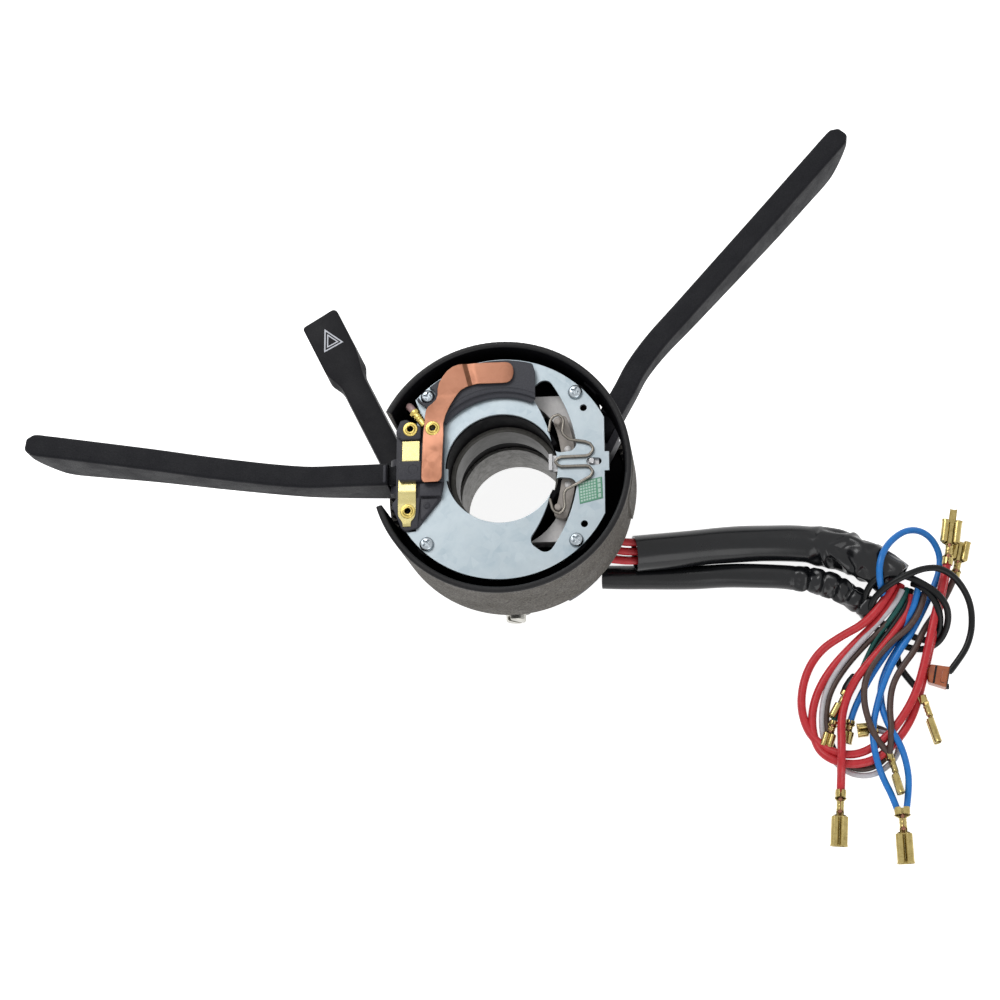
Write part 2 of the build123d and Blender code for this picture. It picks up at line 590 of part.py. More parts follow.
with BuildPart() as cancel_finger:
    with BuildSketch(Plane.XY.offset(FINGER_Z[0])):
        with Locations((FINGER_NOSE[0], AXIS_Y)):
            Rectangle(FINGER_END - FINGER_NOSE[0], FINGER_WIDTH, align=(Align.MIN, Align.CENTER))
    extrude(amount=FINGER_Z[1] - FINGER_Z[0])
    with BuildSketch(Plane.XY.offset(FINGER_Z[0])):
        with Locations((FINGER_NOSE[0], AXIS_Y)):
            Rectangle(FINGER_NOSE[1] - FINGER_NOSE[0], FINGER_WIDTH, align=(Align.MIN, Align.CENTER))
    extrude(amount=PLATE_TOP + 0.6 - FINGER_Z[0])
    with BuildSketch(Plane.XY.offset(FINGER_Z[1])):
        with Locations((FINGER_PIN_X, AXIS_Y)):
            Circle(FINGER_PIN_RADIUS)
    extrude(amount=PLATE_TOP + 1.3 - FINGER_Z[1])
    chamfer(cancel_finger.edges().filter_by(GeomType.CIRCLE).group_by(Axis.Z)[-1], 0.3)
keep(cancel_finger.part, "cancel_finger")

# The wire runs from one pawl's pin round the finger's pin to the other pawl's pin.
SPRING_Z = PLATE_TOP + WIRE_RADIUS + 0.3
SPRING_PATH = [
    (18.2, 13.6), (18.7, 18.1), (20.7, 19.4), (22.9, 18.3), (22.9, 12.0), (31.2, 8.4), (34.9, 6.4),
    (34.9, 3.9), (31.2, 3.4), (21.6, 3.4), (20.0, 1.5), (21.6, -0.4), (31.2, -0.4), (34.9, -0.9),
    (34.9, -3.4), (29.1, -6.6), (22.9, -9.4), (22.9, -17.0), (20.9, -18.4), (18.7, -17.0), (18.0, -12.8),
]
with BuildPart() as cancel_spring:
    with BuildLine():
        wire = FilletPolyline(*[(x, y, SPRING_Z) for x, y in SPRING_PATH], radius=0.75)
    with BuildSketch(Plane(origin=wire @ 0, z_dir=wire % 0)):
        Circle(WIRE_RADIUS)
    sweep()
keep(cancel_spring.part, "cancel_spring")


# ------------------------------------------------------------------ stalks
def stalk(stations, pivot_point, pivot_z, turn, name):
    """A lofted blade with a rounded back, and a tongue that turns on a pin between a fork's ears."""
    a = math.radians(turn)
    along = Vector(math.cos(a), math.sin(a), 0)
    with BuildPart() as blade:
        for i, (x, y, top, depth, upper, lower) in enumerate(stations):
            before = stations[max(i - 1, 0)]
            after = stations[min(i + 1, len(stations) - 1)]
            travel = Vector(after[0] - before[0], after[1] - before[1], 0).normalized()
            if i == 0:
                travel = along
            side = Vector(-travel.Y, travel.X, 0)
            with BuildSketch(Plane(origin=(x, y, pivot_z + top), x_dir=side, z_dir=travel)) as section:
                with BuildLine():
                    Polyline((-upper, 0), (upper, 0), (lower, -depth), (-lower, -depth), close=True)
                make_face()
                fillet(section.vertices().sort_by(Axis.Y)[-2:], min(FACE_CORNER, 0.4 * depth))
                fillet(section.vertices().sort_by(Axis.Y)[:2], min(BACK_CORNER, 0.45 * depth, 0.8 * lower))
        loft(ruled=True)
        lateral = Vector(-math.sin(a), math.cos(a), 0)
        origin = Vector(pivot_point[0], pivot_point[1], pivot_z)
        with BuildSketch(Plane(origin=origin + lateral * (TONGUE / 2), x_dir=along, z_dir=-lateral)):
            Circle(TONGUE_DEPTH / 2)
            Rectangle(STALK_ROOT + 0.5, TONGUE_DEPTH, align=(Align.MIN, Align.CENTER))
            Circle(HINGE_BORE, mode=Mode.SUBTRACT)
        extrude(amount=TONGUE)
    keep(blade.part, name)


stalk(TURN_STATIONS, (TURN_HINGE_X, TURN_LINE_Y), TURN_HINGE_Z, 180, "turn_stalk")

# ------------------------------------------------------------------ wiper switch
WIPER_ALONG = polar(1, WIPER_DIRECTION)
WIPER_HINGE = polar(WIPER_HINGE_REACH, WIPER_DIRECTION, WIPER_PIVOT)
WIPER_FRAME = Plane(
    origin=(WIPER_PIVOT[0], WIPER_PIVOT[1], WIPER_CARRIER_Z[0]),
    x_dir=(WIPER_ALONG[0], WIPER_ALONG[1], 0),
    z_dir=(0, 0, 1),
)
WIPER_EAR_FRAME = Plane(
    origin=(WIPER_HINGE[0], WIPER_HINGE[1], WIPER_HINGE_Z),
    x_dir=(WIPER_ALONG[0], WIPER_ALONG[1], 0),
    z_dir=(WIPER_ALONG[1], -WIPER_ALONG[0], 0),
)

with BuildPart() as wiper_carrier:
    with BuildSketch(WIPER_FRAME):
        Circle(WIPER_BOSS_RADIUS)
    extrude(amount=WIPER_CARRIER_Z[1] - WIPER_CARRIER_Z[0])
    with BuildSketch(WIPER_EAR_FRAME.offset(-FORK_OUTSIDE)):
        Circle(EAR_RADIUS)
        Rectangle(WIPER_HINGE_REACH, 2 * EAR_RADIUS, align=(Align.MAX, Align.CENTER))
    extrude(amount=2 * FORK_OUTSIDE)
    with BuildSketch(WIPER_FRAME.offset(-1)):
        with Locations((WIPER_HINGE_REACH - FORK_CLEAR, 0)):
            Rectangle(20, 2 * FORK_INSIDE, align=(Align.MIN, Align.CENTER))
    extrude(amount=WIPER_CARRIER_Z[1] - WIPER_CARRIER_Z[0] + 2, mode=Mode.SUBTRACT)
    with BuildSketch(WIPER_EAR_FRAME.offset(-FORK_OUTSIDE)):
        Circle(HINGE_BORE)
    extrude(amount=2 * FORK_OUTSIDE, mode=Mode.SUBTRACT)
    with BuildSketch(WIPER_FRAME):
        Circle(WIPER_PIN_RADIUS + FIT_GAP)
    extrude(amount=WIPER_CARRIER_Z[1] - WIPER_CARRIER_Z[0], mode=Mode.SUBTRACT)
keep(wiper_carrier.part, "wiper_carrier")

upright_pin(WIPER_PIVOT, FLOOR_Z - 1.5, WIPER_CARRIER_Z[1] + 0.8, WIPER_PIN_RADIUS, "wiper_pivot_pin")

with BuildPart() as washer_pin:
    with BuildSketch(WIPER_EAR_FRAME.offset(-FORK_OUTSIDE)):
        Circle(HINGE_PIN_RADIUS)
    extrude(amount=2 * FORK_OUTSIDE)
keep(washer_pin.part, "washer_pin")

stalk(WIPER_STATIONS, WIPER_HINGE, WIPER_HINGE_Z, WIPER_DIRECTION, "wiper_stalk")

# ------------------------------------------------------------------ hazard lever
HAZARD_ALONG = polar(1, HAZARD_DIRECTION)
HAZARD_FRAME = Plane(
    origin=(HAZARD_PIVOT[0], HAZARD_PIVOT[1], HAZARD_Z[0]),
    x_dir=(HAZARD_ALONG[0], HAZARD_ALONG[1], 0),
    z_dir=(0, 0, 1),
)
with BuildPart() as hazard_lever:
    with BuildSketch(HAZARD_FRAME) as lever_outline:
        with BuildLine():
            Polyline(
                (0, -HAZARD_STEM / 2),
                (51.5, -HAZARD_STEM / 2),
                (60.5, -6.9),
                (HAZARD_LENGTH - 0.8, -6.9),
                (HAZARD_LENGTH + 0.6, HAZARD_PADDLE - 6.9),
                (60.5, HAZARD_PADDLE - 6.9),
                (51.5, HAZARD_STEM / 2),
                (0, HAZARD_STEM / 2),
                close=True,
            )
        make_face()
        fillet(lever_outline.vertices().sort_by(Axis.X)[-4:], 1.5)
        Circle(HAZARD_HUB_RADIUS)
        Circle(HAZARD_PIN_RADIUS + FIT_GAP, mode=Mode.SUBTRACT)
    extrude(amount=HAZARD_Z[1] - HAZARD_Z[0])
keep(hazard_lever.part, "hazard_lever")

upright_pin(HAZARD_PIVOT, FLOOR_Z - 1.5, HAZARD_Z[1] + 1.0, HAZARD_PIN_RADIUS, "hazard_pin")

# ------------------------------------------------------------------ contacts on the plate
EYELET_CLEAR = EYELET_BARREL + SEAT_GAP
BASE_TOP = PLATE_TOP + 0.8
BLOCK_TOP = PLATE_TOP + 3.0
LOW_BLOCK_TOP = BRASS_Z

with BuildPart() as contact_carrier:
    # the part that stands in the plate's open notch
    with BuildSketch(Plane.XY.offset(CONTACT_BASE_Z)):
        with BuildLine():
            Polyline(
                (PLATE_NOTCH[0] - SEAT_GAP, -22.4), (PLATE_NOTCH[0] - SEAT_GAP, 17.0), (-35.2, 19.3),
                (-37.4, 18.9), (-39.0, 14.5), (-39.0, -10.8), (-40.4, -12.7), (-40.4, -14.2),
                (-37.0, -22.2), (-35.5, -22.4), close=True,
            )
        make_face()
    extrude(amount=PLATE_TOP - CONTACT_BASE_Z)
    with BuildSketch(Plane.XY.offset(PLATE_TOP)):
        with BuildLine():
            Polyline(
                (-30.8, -22.3), (-22.4, -11.8), (-21.2, -5.4), (-21.2, 16.3), (-29.4, 16.3),
                (-35.2, 19.3), (-37.4, 18.9), (-39.0, 14.5), (-39.0, -10.8), (-40.4, -12.7),
                (-40.4, -14.2), (-37.0, -22.2), (-35.5, -23.6), close=True,
            )
        make_face()
    extrude(amount=BASE_TOP - PLATE_TOP)
    # raised blocks: under the copper strip, over the leaf's upper end, under its lower end
    with BuildSketch(Plane.XY.offset(BASE_TOP)):
        with Locations((-28.9, -5.4)):
            Rectangle(7.7, 21.7, align=(Align.MIN, Align.MIN))
    extrude(amount=COPPER_Z - BASE_TOP)
    with BuildSketch(Plane.XY.offset(BASE_TOP)):
        with BuildLine():
            Polyline(
                (-29.4, 11.1), (-29.4, 16.1), (-35.2, 19.3), (-37.4, 18.9), (-39.0, 14.5),
                (-39.0, 13.0), (-36.6, 11.1), close=True,
            )
        make_face()
    extrude(amount=BLOCK_TOP - BASE_TOP)
    with BuildSketch(Plane.XY.offset(BASE_TOP)):
        with BuildLine():
            Polyline(
                (-29.9, -10.8), (-30.8, -22.3), (-35.5, -23.6), (-37.0, -22.2), (-40.4, -14.2),
                (-40.4, -12.7), (-38.3, -10.8), close=True,
            )
        make_face()
    extrude(amount=LOW_BLOCK_TOP - BASE_TOP)
    with BuildSketch(Plane.XY.offset(BASE_TOP)):
        with BuildLine():
            Polyline((-29.3, -11.6), (-22.5, -11.6), (-30.3, -21.2), close=True)
        make_face()
    extrude(amount=0.6)
    with BuildSketch(Plane.XY.offset(CONTACT_BASE_Z)):
        with Locations(EYELETS["upper"], EYELETS["copper"], EYELETS["lower"]):
            Circle(EYELET_CLEAR)
    extrude(amount=COPPER_Z - CONTACT_BASE_Z + 1, mode=Mode.SUBTRACT)
keep(contact_carrier.part, "contact_carrier")

with BuildPart() as horn_strip:
    with BuildSketch(Plane.XY.offset(COPPER_Z)) as strip_outline:
        with BuildLine():
            Polyline(
                (-29.0, -5.8), (-29.0, 16.9), (-27.5, 23.1), (-24.1, 26.3), (-22.7, 32.3),
                (-17.5, 39.6), (-11.0, 40.0), (-11.0, 31.0), (-14.6, 29.4), (-18.6, 24.6),
                (-20.8, 19.1), (-21.1, -5.8), close=True,
            )
        make_face()
        fillet(strip_outline.vertices().group_by(Axis.Y)[0], 1.0)
        with Locations(EYELETS["copper"]):
            Circle(EYELET_CLEAR, mode=Mode.SUBTRACT)
    extrude(amount=STRIP)
    with BuildSketch(Plane.XY.offset(COPPER_Z + STRIP)) as arm:
        with BuildLine():
            Polyline((-12.5, 40.1), (4.9, 40.1), (4.9, 31.3), (-12.5, 30.6), close=True)
        make_face()
        fillet(arm.vertices().group_by(Axis.X)[-1], 3.0)
    extrude(amount=STRIP)
keep(horn_strip.part, "horn_strip")

ARC_BLOCK_START = math.degrees(math.acos(ARC_BLOCK_END_X / ARC_BLOCK_BAND[1]))
with BuildPart() as arc_block:
    with BuildSketch(Plane.XY.offset(PLATE_TOP)) as block_outline:
        add(sector(*ARC_BLOCK_BAND, ARC_BLOCK_START - 12, 139.5))
        with Locations((ARC_BLOCK_END_X, 20)):
            Rectangle(20, 30, align=(Align.MIN, Align.MIN), mode=Mode.SUBTRACT)
        fillet(block_outline.vertices().sort_by(Axis.X)[-2:], 2.0)
        with Locations((-SCREW_X, SCREW_Y)):
            Circle(SCREW_HEAD_RADIUS + 0.4, mode=Mode.SUBTRACT)
    extrude(amount=ARC_BLOCK_TOP - PLATE_TOP)
keep(arc_block.part, "arc_block")

# One brass leaf runs from the upper block, under the bridge, to its eyelet on the lower block.
with BuildPart() as brass_leaf:
    with BuildSketch(Plane.XY.offset(BRASS_Z)):
        with BuildLine():
            Polyline(
                (-36.7, 11.0), (-30.2, 11.0), (-30.2, 3.0), (-31.4, -4.6), (-31.4, -15.7),
                (-31.8, -18.2), (-33.3, -20.1), (-33.3, -23.0), (-36.3, -23.0), (-36.3, -20.5),
                (-38.1, -17.5), (-38.0, -4.6), (-36.7, 3.0), close=True,
            )
        make_face()
        with Locations(EYELETS["lower"]):
            Circle(EYELET_CLEAR, mode=Mode.SUBTRACT)
    extrude(amount=STRIP)
keep(brass_leaf.part, "brass_leaf")

with BuildPart() as contact_bridge:
    with BuildSketch(Plane.XY.offset(BRASS_Z + STRIP)):
        with Locations((-33.4, -1.1)):
            RectangleRounded(8.4, 7.4, 0.5)
    extrude(amount=BLOCK_TOP + 1.2 - BRASS_Z - STRIP)
    chamfer(contact_bridge.edges().group_by(Axis.Z)[-1], 0.3)
keep(contact_bridge.part, "contact_bridge")

EYELET_SEATS = {"upper": BLOCK_TOP, "copper": COPPER_Z + STRIP, "lower": BRASS_Z + STRIP}
with BuildPart() as eyelets:
    for spot, seat in EYELET_SEATS.items():
        with BuildSketch(Plane.XY.offset(seat)):
            with Locations(EYELETS[spot]):
                Circle(EYELET_RADIUS)
        extrude(amount=0.7)
        chamfer(eyelets.edges().filter_by(GeomType.CIRCLE).group_by(Axis.Z)[-1], 0.3)
        with BuildSketch(Plane.XY.offset(seat)):
            with Locations(EYELETS[spot]):
                Circle(EYELET_BARREL)
        extrude(amount=-2.2)
        with BuildSketch(Plane.XY.offset(seat + 1)):
            with Locations(EYELETS[spot]):
                Circle(EYELET_BORE)
        extrude(amount=-4, mode=Mode.SUBTRACT)
keep(eyelets.part, "eyelets")

CRIMP_START = (-30.1, 19.1)
CRIMP_TURN = 126
CRIMP_LENGTH = 4.2
with BuildPart() as crimp_terminal:
    with BuildSketch(Plane.XY.offset(PLATE_TOP + 0.3)):
        with Locations(Location((CRIMP_START[0], CRIMP_START[1], 0), (0, 0, CRIMP_TURN))):
            Rectangle(CRIMP_LENGTH, 3.6, align=(Align.MIN, Align.CENTER))
    extrude(amount=3.2)
    fillet(crimp_terminal.edges().filter_by(Axis.Z, reverse=True).group_by(Axis.Z)[-1], 0.9)
keep(crimp_terminal.part, "crimp_terminal")

lead_start = polar(CRIMP_LENGTH, CRIMP_TURN, CRIMP_START)
with BuildPart() as lead_stub:
    lead_dir = Vector(*polar(1, CRIMP_TURN), -0.75).normalized()
    with BuildSketch(Plane(origin=(lead_start[0], lead_start[1], PLATE_TOP + 1.9), z_dir=lead_dir)):
        Circle(1.35)
    extrude(amount=5.0)
keep(lead_stub.part, "lead_stub")

with BuildPart() as label:
    with BuildSketch(Plane.XY.offset(PLATE_TOP)):
        with BuildLine():
            Polyline((28.3, -6.3), (37.1, -4.6), (37.4, -12.8), (28.9, -14.8), close=True)
        make_face()
    extrude(amount=0.15)
keep(label.part, "label")

# ------------------------------------------------------------------ sockets and harness
with BuildPart() as terminal_block:
    with BuildSketch(Plane.XY.offset(SOCKET_Z)) as socket_outline:
        add(sector(*SOCKET_BAND, *SOCKET_ANGLES))
        fillet(socket_outline.vertices(), 1.0)
    extrude(amount=REAR_Z - SOCKET_Z)
keep(terminal_block.part, "terminal_block")


def cord(name, radius, route):
    """A solid tube: straight runs joined by tangent arcs."""
    runs = []
    for a, b in zip(route, route[1:]):
        runs.append(Vector(*b) - Vector(*a))
    radii = []
    for before, after in zip(runs, runs[1:]):
        turn = math.radians(before.get_angle(after))
        radii.append(round(0.45 * min(before.length, after.length) / math.tan(turn / 2), 1))
    with BuildPart() as tube:
        with BuildLine():
            line = FilletPolyline(*route, radius=radii)
        with BuildSketch(Plane(origin=line @ 0, z_dir=line % 0)):
            Circle(radius)
        sweep()
    section = math.pi * radius * radius * line.length
    print(name, "radii", radii, "length", round(line.length, 1), "volume ratio", round(tube.part.volume / section, 4))
    keep(tube.part, name)


for name, (radius, route) in ROUTES.items():
    cord(name, radius, route)

# The stub of wires between the sockets and the large sleeve's mouth.
mouth = Vector(*ROUTES["sleeve_large"][1][0])
mouth_dir = (Vector(*ROUTES["sleeve_large"][1][1]) - mouth).normalized()
with BuildPart() as outlet_wires:
    with BuildSketch(Plane(origin=mouth, z_dir=-mouth_dir)):
        Circle(4.2)
    extrude(amount=10.4)
keep(outlet_wires.part, "outlet_wires")

with BuildPart() as wire_hank:
    with BuildSketch(Plane.XY) as hank_outline:
        with BuildLine():
            Polyline(*HANK_OUTLINE, close=True)
        make_face()
        fillet(hank_outline.vertices(), 3.0)
    extrude(amount=HANK_HEIGHT)
    chamfer(wire_hank.faces().sort_by(Axis.Z)[-1].edges(), 2.0)
keep(wire_hank.part, "wire_hank")


def push_on(name, end, before, radius, crimp, width, tall, length, edge=False):
    """A push-on terminal at the end of a wire: a crimp, a neck and a rolled receptacle."""
    end = Vector(*end)
    heading = (end - Vector(*before)).normalized()
    sideways = Vector(-heading.Y, heading.X, 0)
    lateral = Vector(0, 0, 1) if edge else sideways
    sink = Vector(0, 0, radius - width / 2) + heading.cross(lateral) * (tall / 2) if edge else Vector(0, 0, radius)
    face = Plane(origin=end - heading - sink, x_dir=lateral, z_dir=heading)
    with BuildPart() as body:
        with BuildSketch(face):
            with Locations((0, tall / 2)):
                RectangleRounded(crimp, tall, 0.4)
        extrude(amount=4.2)
        with BuildSketch(face.offset(4.2)):
            with Locations((0, tall * 0.3)):
                Rectangle(2.4, tall * 0.6)
        extrude(amount=length * 0.25)
        with BuildSketch(face.offset(4.2 + length * 0.25)):
            with Locations((0, 0.4)):
                Rectangle(width, 0.8)
            with Locations((-width / 2 + 1.3, tall / 2), (width / 2 - 1.3, tall / 2)):
                RectangleRounded(2.6, tall, 1.0)
        extrude(amount=length * 0.75 - 4.2)
    keep(body.part, name)


def last_two(wire):
    return ROUTES[wire][1][-1], ROUTES[wire][1][-2]


push_on("terminal_1", *last_two("red_top"), THICK_LEAD, 4.6, 7.2, 3.4, 21.0)
push_on("terminal_2", *last_two("brown_top"), THIN_LEAD, 4.0, 6.6, 2.8, 18.0)
push_on("terminal_3", *last_two("red_low"), THICK_LEAD, 4.6, 6.0, 3.2, 21.0)
push_on("terminal_4", (143.3, -119.4, 1.6), (143.2, -116.0, 1.6), THIN_LEAD, 6.2, 6.0, 3.0, 21.0)
push_on("terminal_5", (139.3, -99.0, 1.6), (138.9, -97.5, 1.6), THIN_LEAD, 4.6, 6.0, 2.8, 16.0, edge=True)
push_on("terminal_6", *last_two("black_tail"), THIN_LEAD, 3.8, 6.0, 2.8, 18.5, edge=True)

with BuildPart() as flag_connector:
    with BuildSketch(Plane.XY) as housing_outline:
        with Locations(Location((159.8, -69.3, 0), (0, 0, -20))):
            Rectangle(8.6, 7.6)
            with Locations((-5.2, 0)):
                Rectangle(3.0, 4.0)
        fillet(housing_outline.vertices(), 0.6)
    extrude(amount=4.6)
    chamfer(flag_connector.edges().group_by(Axis.Z)[-1], 0.5)
keep(flag_connector.part, "flag_connector")
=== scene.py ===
# %% [markdown]
# # Combination stalk switch, layer by layer
# The part is a steering-column switch: a clamp collar, a drum-shaped housing, a zinc plate with the
# cancelling gear, three levers and a short loom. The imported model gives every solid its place, so
# this script only adds looks: smoother shapes, real wires, and finishes made of nodes.
# It starts by loading that fixed frame. Everything below is in metres, in the frame's own axes.

import math

import bmesh
import bpy
from mathutils import Matrix, Vector, noise


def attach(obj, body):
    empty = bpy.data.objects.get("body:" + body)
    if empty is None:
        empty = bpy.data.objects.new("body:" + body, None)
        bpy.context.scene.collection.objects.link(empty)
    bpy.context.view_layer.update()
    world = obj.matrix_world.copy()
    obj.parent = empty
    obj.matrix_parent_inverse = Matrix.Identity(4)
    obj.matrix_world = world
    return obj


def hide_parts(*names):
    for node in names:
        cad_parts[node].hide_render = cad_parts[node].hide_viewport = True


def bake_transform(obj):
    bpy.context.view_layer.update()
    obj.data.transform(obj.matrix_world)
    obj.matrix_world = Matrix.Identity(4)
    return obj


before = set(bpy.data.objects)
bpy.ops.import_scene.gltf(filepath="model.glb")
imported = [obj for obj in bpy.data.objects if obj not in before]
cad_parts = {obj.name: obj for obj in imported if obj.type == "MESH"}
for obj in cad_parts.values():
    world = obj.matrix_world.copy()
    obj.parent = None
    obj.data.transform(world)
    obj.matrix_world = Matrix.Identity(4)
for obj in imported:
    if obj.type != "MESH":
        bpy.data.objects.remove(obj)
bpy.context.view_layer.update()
MM = 0.001


def add_object(name, data):
    """A new object in the scene."""
    made = bpy.data.objects.new(name, data)
    bpy.context.collection.objects.link(made)
    return made


def final_mesh(holder):
    """The plain mesh of an object, with its modifiers or its curve worked out."""
    return bpy.data.meshes.new_from_object(holder.evaluated_get(bpy.context.evaluated_depsgraph_get()))


# %% [markdown]
# ## The camera
# A long lens (90 mm on a 36 mm sensor) looks down at the part from a metre away, leaning a little
# from the driver's lower side. A long lens keeps parallel edges nearly parallel, which suits a
# catalogue view. The camera is placed by its three axes, which is exact and easy to read.

# %% Camera
lens = bpy.data.cameras.new("camera")
lens.lens = 90
lens.sensor_width = 36
camera = add_object("camera", lens)
camera_right = Vector((0.99392, 0, -0.11008)).normalized()
camera_back = Vector((0.10560, -0.28262, 0.95340)).normalized()
camera_up = camera_back.cross(camera_right).normalized()
camera_axes = Matrix((camera_right, camera_up, camera_back)).transposed().to_4x4()
camera.matrix_world = Matrix.Translation((0.09640, -0.27164, 0.93752)) @ camera_axes
bpy.context.scene.camera = camera
bpy.context.scene.view_settings.view_transform = "Standard"
print("camera at", [round(v, 3) for v in camera.location])

# %% [markdown]
# ## A small helper for node trees
# Every finish below is a handful of nodes. `node` makes one, sets its options, and either links or
# sets each input, so a finish reads from top to bottom like a recipe.

# %% Node helper
def node(tree, kind, inputs=None, **options):
    """Adds a node; an input given as a socket is linked, and any other value is set."""
    made = tree.nodes.new(kind)
    for name, value in options.items():
        setattr(made, name, value)
    for name, value in (inputs or {}).items():
        socket = made.inputs[name]
        if isinstance(value, bpy.types.NodeSocket):
            tree.links.new(value, socket)
        else:
            socket.default_value = value
    return made


def ramp(tree, factor, stops):
    """A colour ramp from (position, colour) pairs; a colour may be one grey number."""
    made = node(tree, "ShaderNodeValToRGB", {"Fac": factor})
    elements = made.color_ramp.elements
    while len(elements) < len(stops):
        elements.new(0.5)
    for element, (place, colour) in zip(elements, stops):
        element.position = place
        element.color = (colour, colour, colour, 1) if isinstance(colour, (int, float)) else (*colour, 1)
    return made.outputs["Color"]


def calc(tree, kind, a, b=0.0, c=0.0, clamp=False):
    """The result of one Math node."""
    return node(tree, "ShaderNodeMath", {0: a, 1: b, 2: c}, operation=kind, use_clamp=clamp).outputs[0]


def remap(tree, value, low, high, new_low=0.0, new_high=1.0):
    """A value moved from one range to another, and held within it."""
    limits = {"From Min": low, "From Max": high, "To Min": new_low, "To Max": new_high}
    return node(tree, "ShaderNodeMapRange", {"Value": value, **limits}).outputs["Result"]


print("node helpers ready")

# %% [markdown]
# ## Floor, sky and lamps
# The part lies on a white table. The table adds a little glow of its own for the camera and for
# mirror-like reflections, so it reads as white while the soft contact shadow stays on it.
# One large soft lamp stands up and to the left, one low lamp fills the drum's near wall, and the
# sky gives the rest.

# %% Table, sky and lamps
table_mesh = bpy.data.meshes.new("table")
table_mesh.from_pydata([(-3, -3, 0), (3, -3, 0), (3, 3, 0), (-3, 3, 0)], [], [(0, 1, 2, 3)])
table = add_object("table", table_mesh)


def seen_directly(tree):
    """1 for rays from the camera, a mirror or glass, 0 for light that falls on other things."""
    path = node(tree, "ShaderNodeLightPath")
    first = calc(tree, "MAXIMUM", path.outputs["Is Camera Ray"], path.outputs["Is Glossy Ray"])
    return calc(tree, "MAXIMUM", first, path.outputs["Is Transmission Ray"])


table_finish = bpy.data.materials.new("white_table")
table_finish.use_nodes = True
tree = table_finish.node_tree
tree.nodes.clear()
paper = node(tree, "ShaderNodeBsdfDiffuse", {"Color": (0.86, 0.86, 0.86, 1)})
glow = node(tree, "ShaderNodeEmission", {"Color": (1, 1, 1, 1), "Strength": 0.86})
both = node(tree, "ShaderNodeAddShader", {0: paper.outputs[0], 1: glow.outputs[0]})
pick = node(tree, "ShaderNodeMixShader", {0: seen_directly(tree), 1: paper.outputs[0], 2: both.outputs[0]})
node(tree, "ShaderNodeOutputMaterial", {"Surface": pick.outputs[0]})
table_mesh.materials.append(table_finish)

sky = bpy.data.worlds.new("sky")
sky.use_nodes = True
bpy.context.scene.world = sky
tree = sky.node_tree
tree.nodes.clear()
plain = node(tree, "ShaderNodeBackground", {"Color": (1, 1, 1, 1), "Strength": 0.5})
white = node(tree, "ShaderNodeBackground", {"Color": (1, 1, 1, 1), "Strength": 1.0})
pick = node(tree, "ShaderNodeMixShader", {0: seen_directly(tree), 1: plain.outputs[0], 2: white.outputs[0]})
node(tree, "ShaderNodeOutputWorld", {"Surface": pick.outputs[0]})


def soft_lamp(name, place, aim, size, power):
    """A square area lamp that looks at a point."""
    lamp = bpy.data.lights.new(name, "AREA")
    lamp.size = size
    lamp.energy = power
    holder = add_object(name, lamp)
    holder.location = place
    holder.rotation_euler = (Vector(aim) - Vector(place)).to_track_quat("-Z", "Y").to_euler()
    print(name, power, "W")


soft_lamp("key_lamp", (-0.55, 0.75, 1.15), (0, 0, 0.03), 0.7, 9.0)
soft_lamp("fill_lamp", (0.5, -1.1, 0.55), (0.02, 0, 0.03), 0.9, 4.5)

# %% [markdown]
# ## Finishes: the shared effects
# Four small node groups hold the effects that many finishes share. Moulded grain is the fine leather
# grain of the levers and the drum. Patchy metal is the cloudy look of zinc plating and stamped brass.
# Rolled lines are the long faint lines of rolled strip and wire. Handling marks are smudges that only
# change how shiny a place is. Each group gives out colours and values, and each finish owns its shader.

# %% Group helper
def effect(name, inputs, outputs):
    """A shader node group with named inputs (name, kind, value) and outputs (name, kind)."""
    group = bpy.data.node_groups.new(name, "ShaderNodeTree")
    for label, kind, value in inputs:
        socket = group.interface.new_socket(name=label, in_out="INPUT", socket_type=kind)
        socket.default_value = value
    for label, kind in outputs:
        group.interface.new_socket(name=label, in_out="OUTPUT", socket_type=kind)
    return group, node(group, "NodeGroupInput"), node(group, "NodeGroupOutput")


def connect(group, out, **values):
    """Links sockets to the group's outputs of the same names."""
    for label, socket in values.items():
        group.links.new(socket, out.inputs[label.replace("_", " ")])


def own_place(tree):
    """The piece's own coordinates, in metres."""
    return node(tree, "ShaderNodeTexCoord").outputs["Object"]


def cloudy(tree, place, scale, detail, roughness, twist=0.0):
    """The grey value of a Noise Texture."""
    values = {"Vector": place, "Scale": scale, "Detail": detail, "Roughness": roughness, "Distortion": twist}
    return node(tree, "ShaderNodeTexNoise", values).outputs["Fac"]


FLOAT, COLOUR = "NodeSocketFloat", "NodeSocketColor"

# %% Moulded grain
grain_group, given, out = effect(
    "moulded_grain", [
        ("Per metre", FLOAT, 1600.0), ("Depth", FLOAT, 1.0),
    ], [("Height", FLOAT), ("Fleck", FLOAT)],
)
place, scale = own_place(grain_group), given.outputs["Per metre"]
pit_inputs = {"Vector": place, "Scale": scale, "Randomness": 1.0}
pits = node(grain_group, "ShaderNodeTexVoronoi", pit_inputs, feature="SMOOTH_F1")
crinkle = cloudy(grain_group, place, scale, 4.0, 0.65)
height = calc(grain_group, "ADD", pits.outputs["Distance"], crinkle)
height = calc(grain_group, "MULTIPLY", height, given.outputs["Depth"])
connect(grain_group, out, Height=height, Fleck=remap(grain_group, crinkle, 0.35, 0.72))
print("group", grain_group.name)

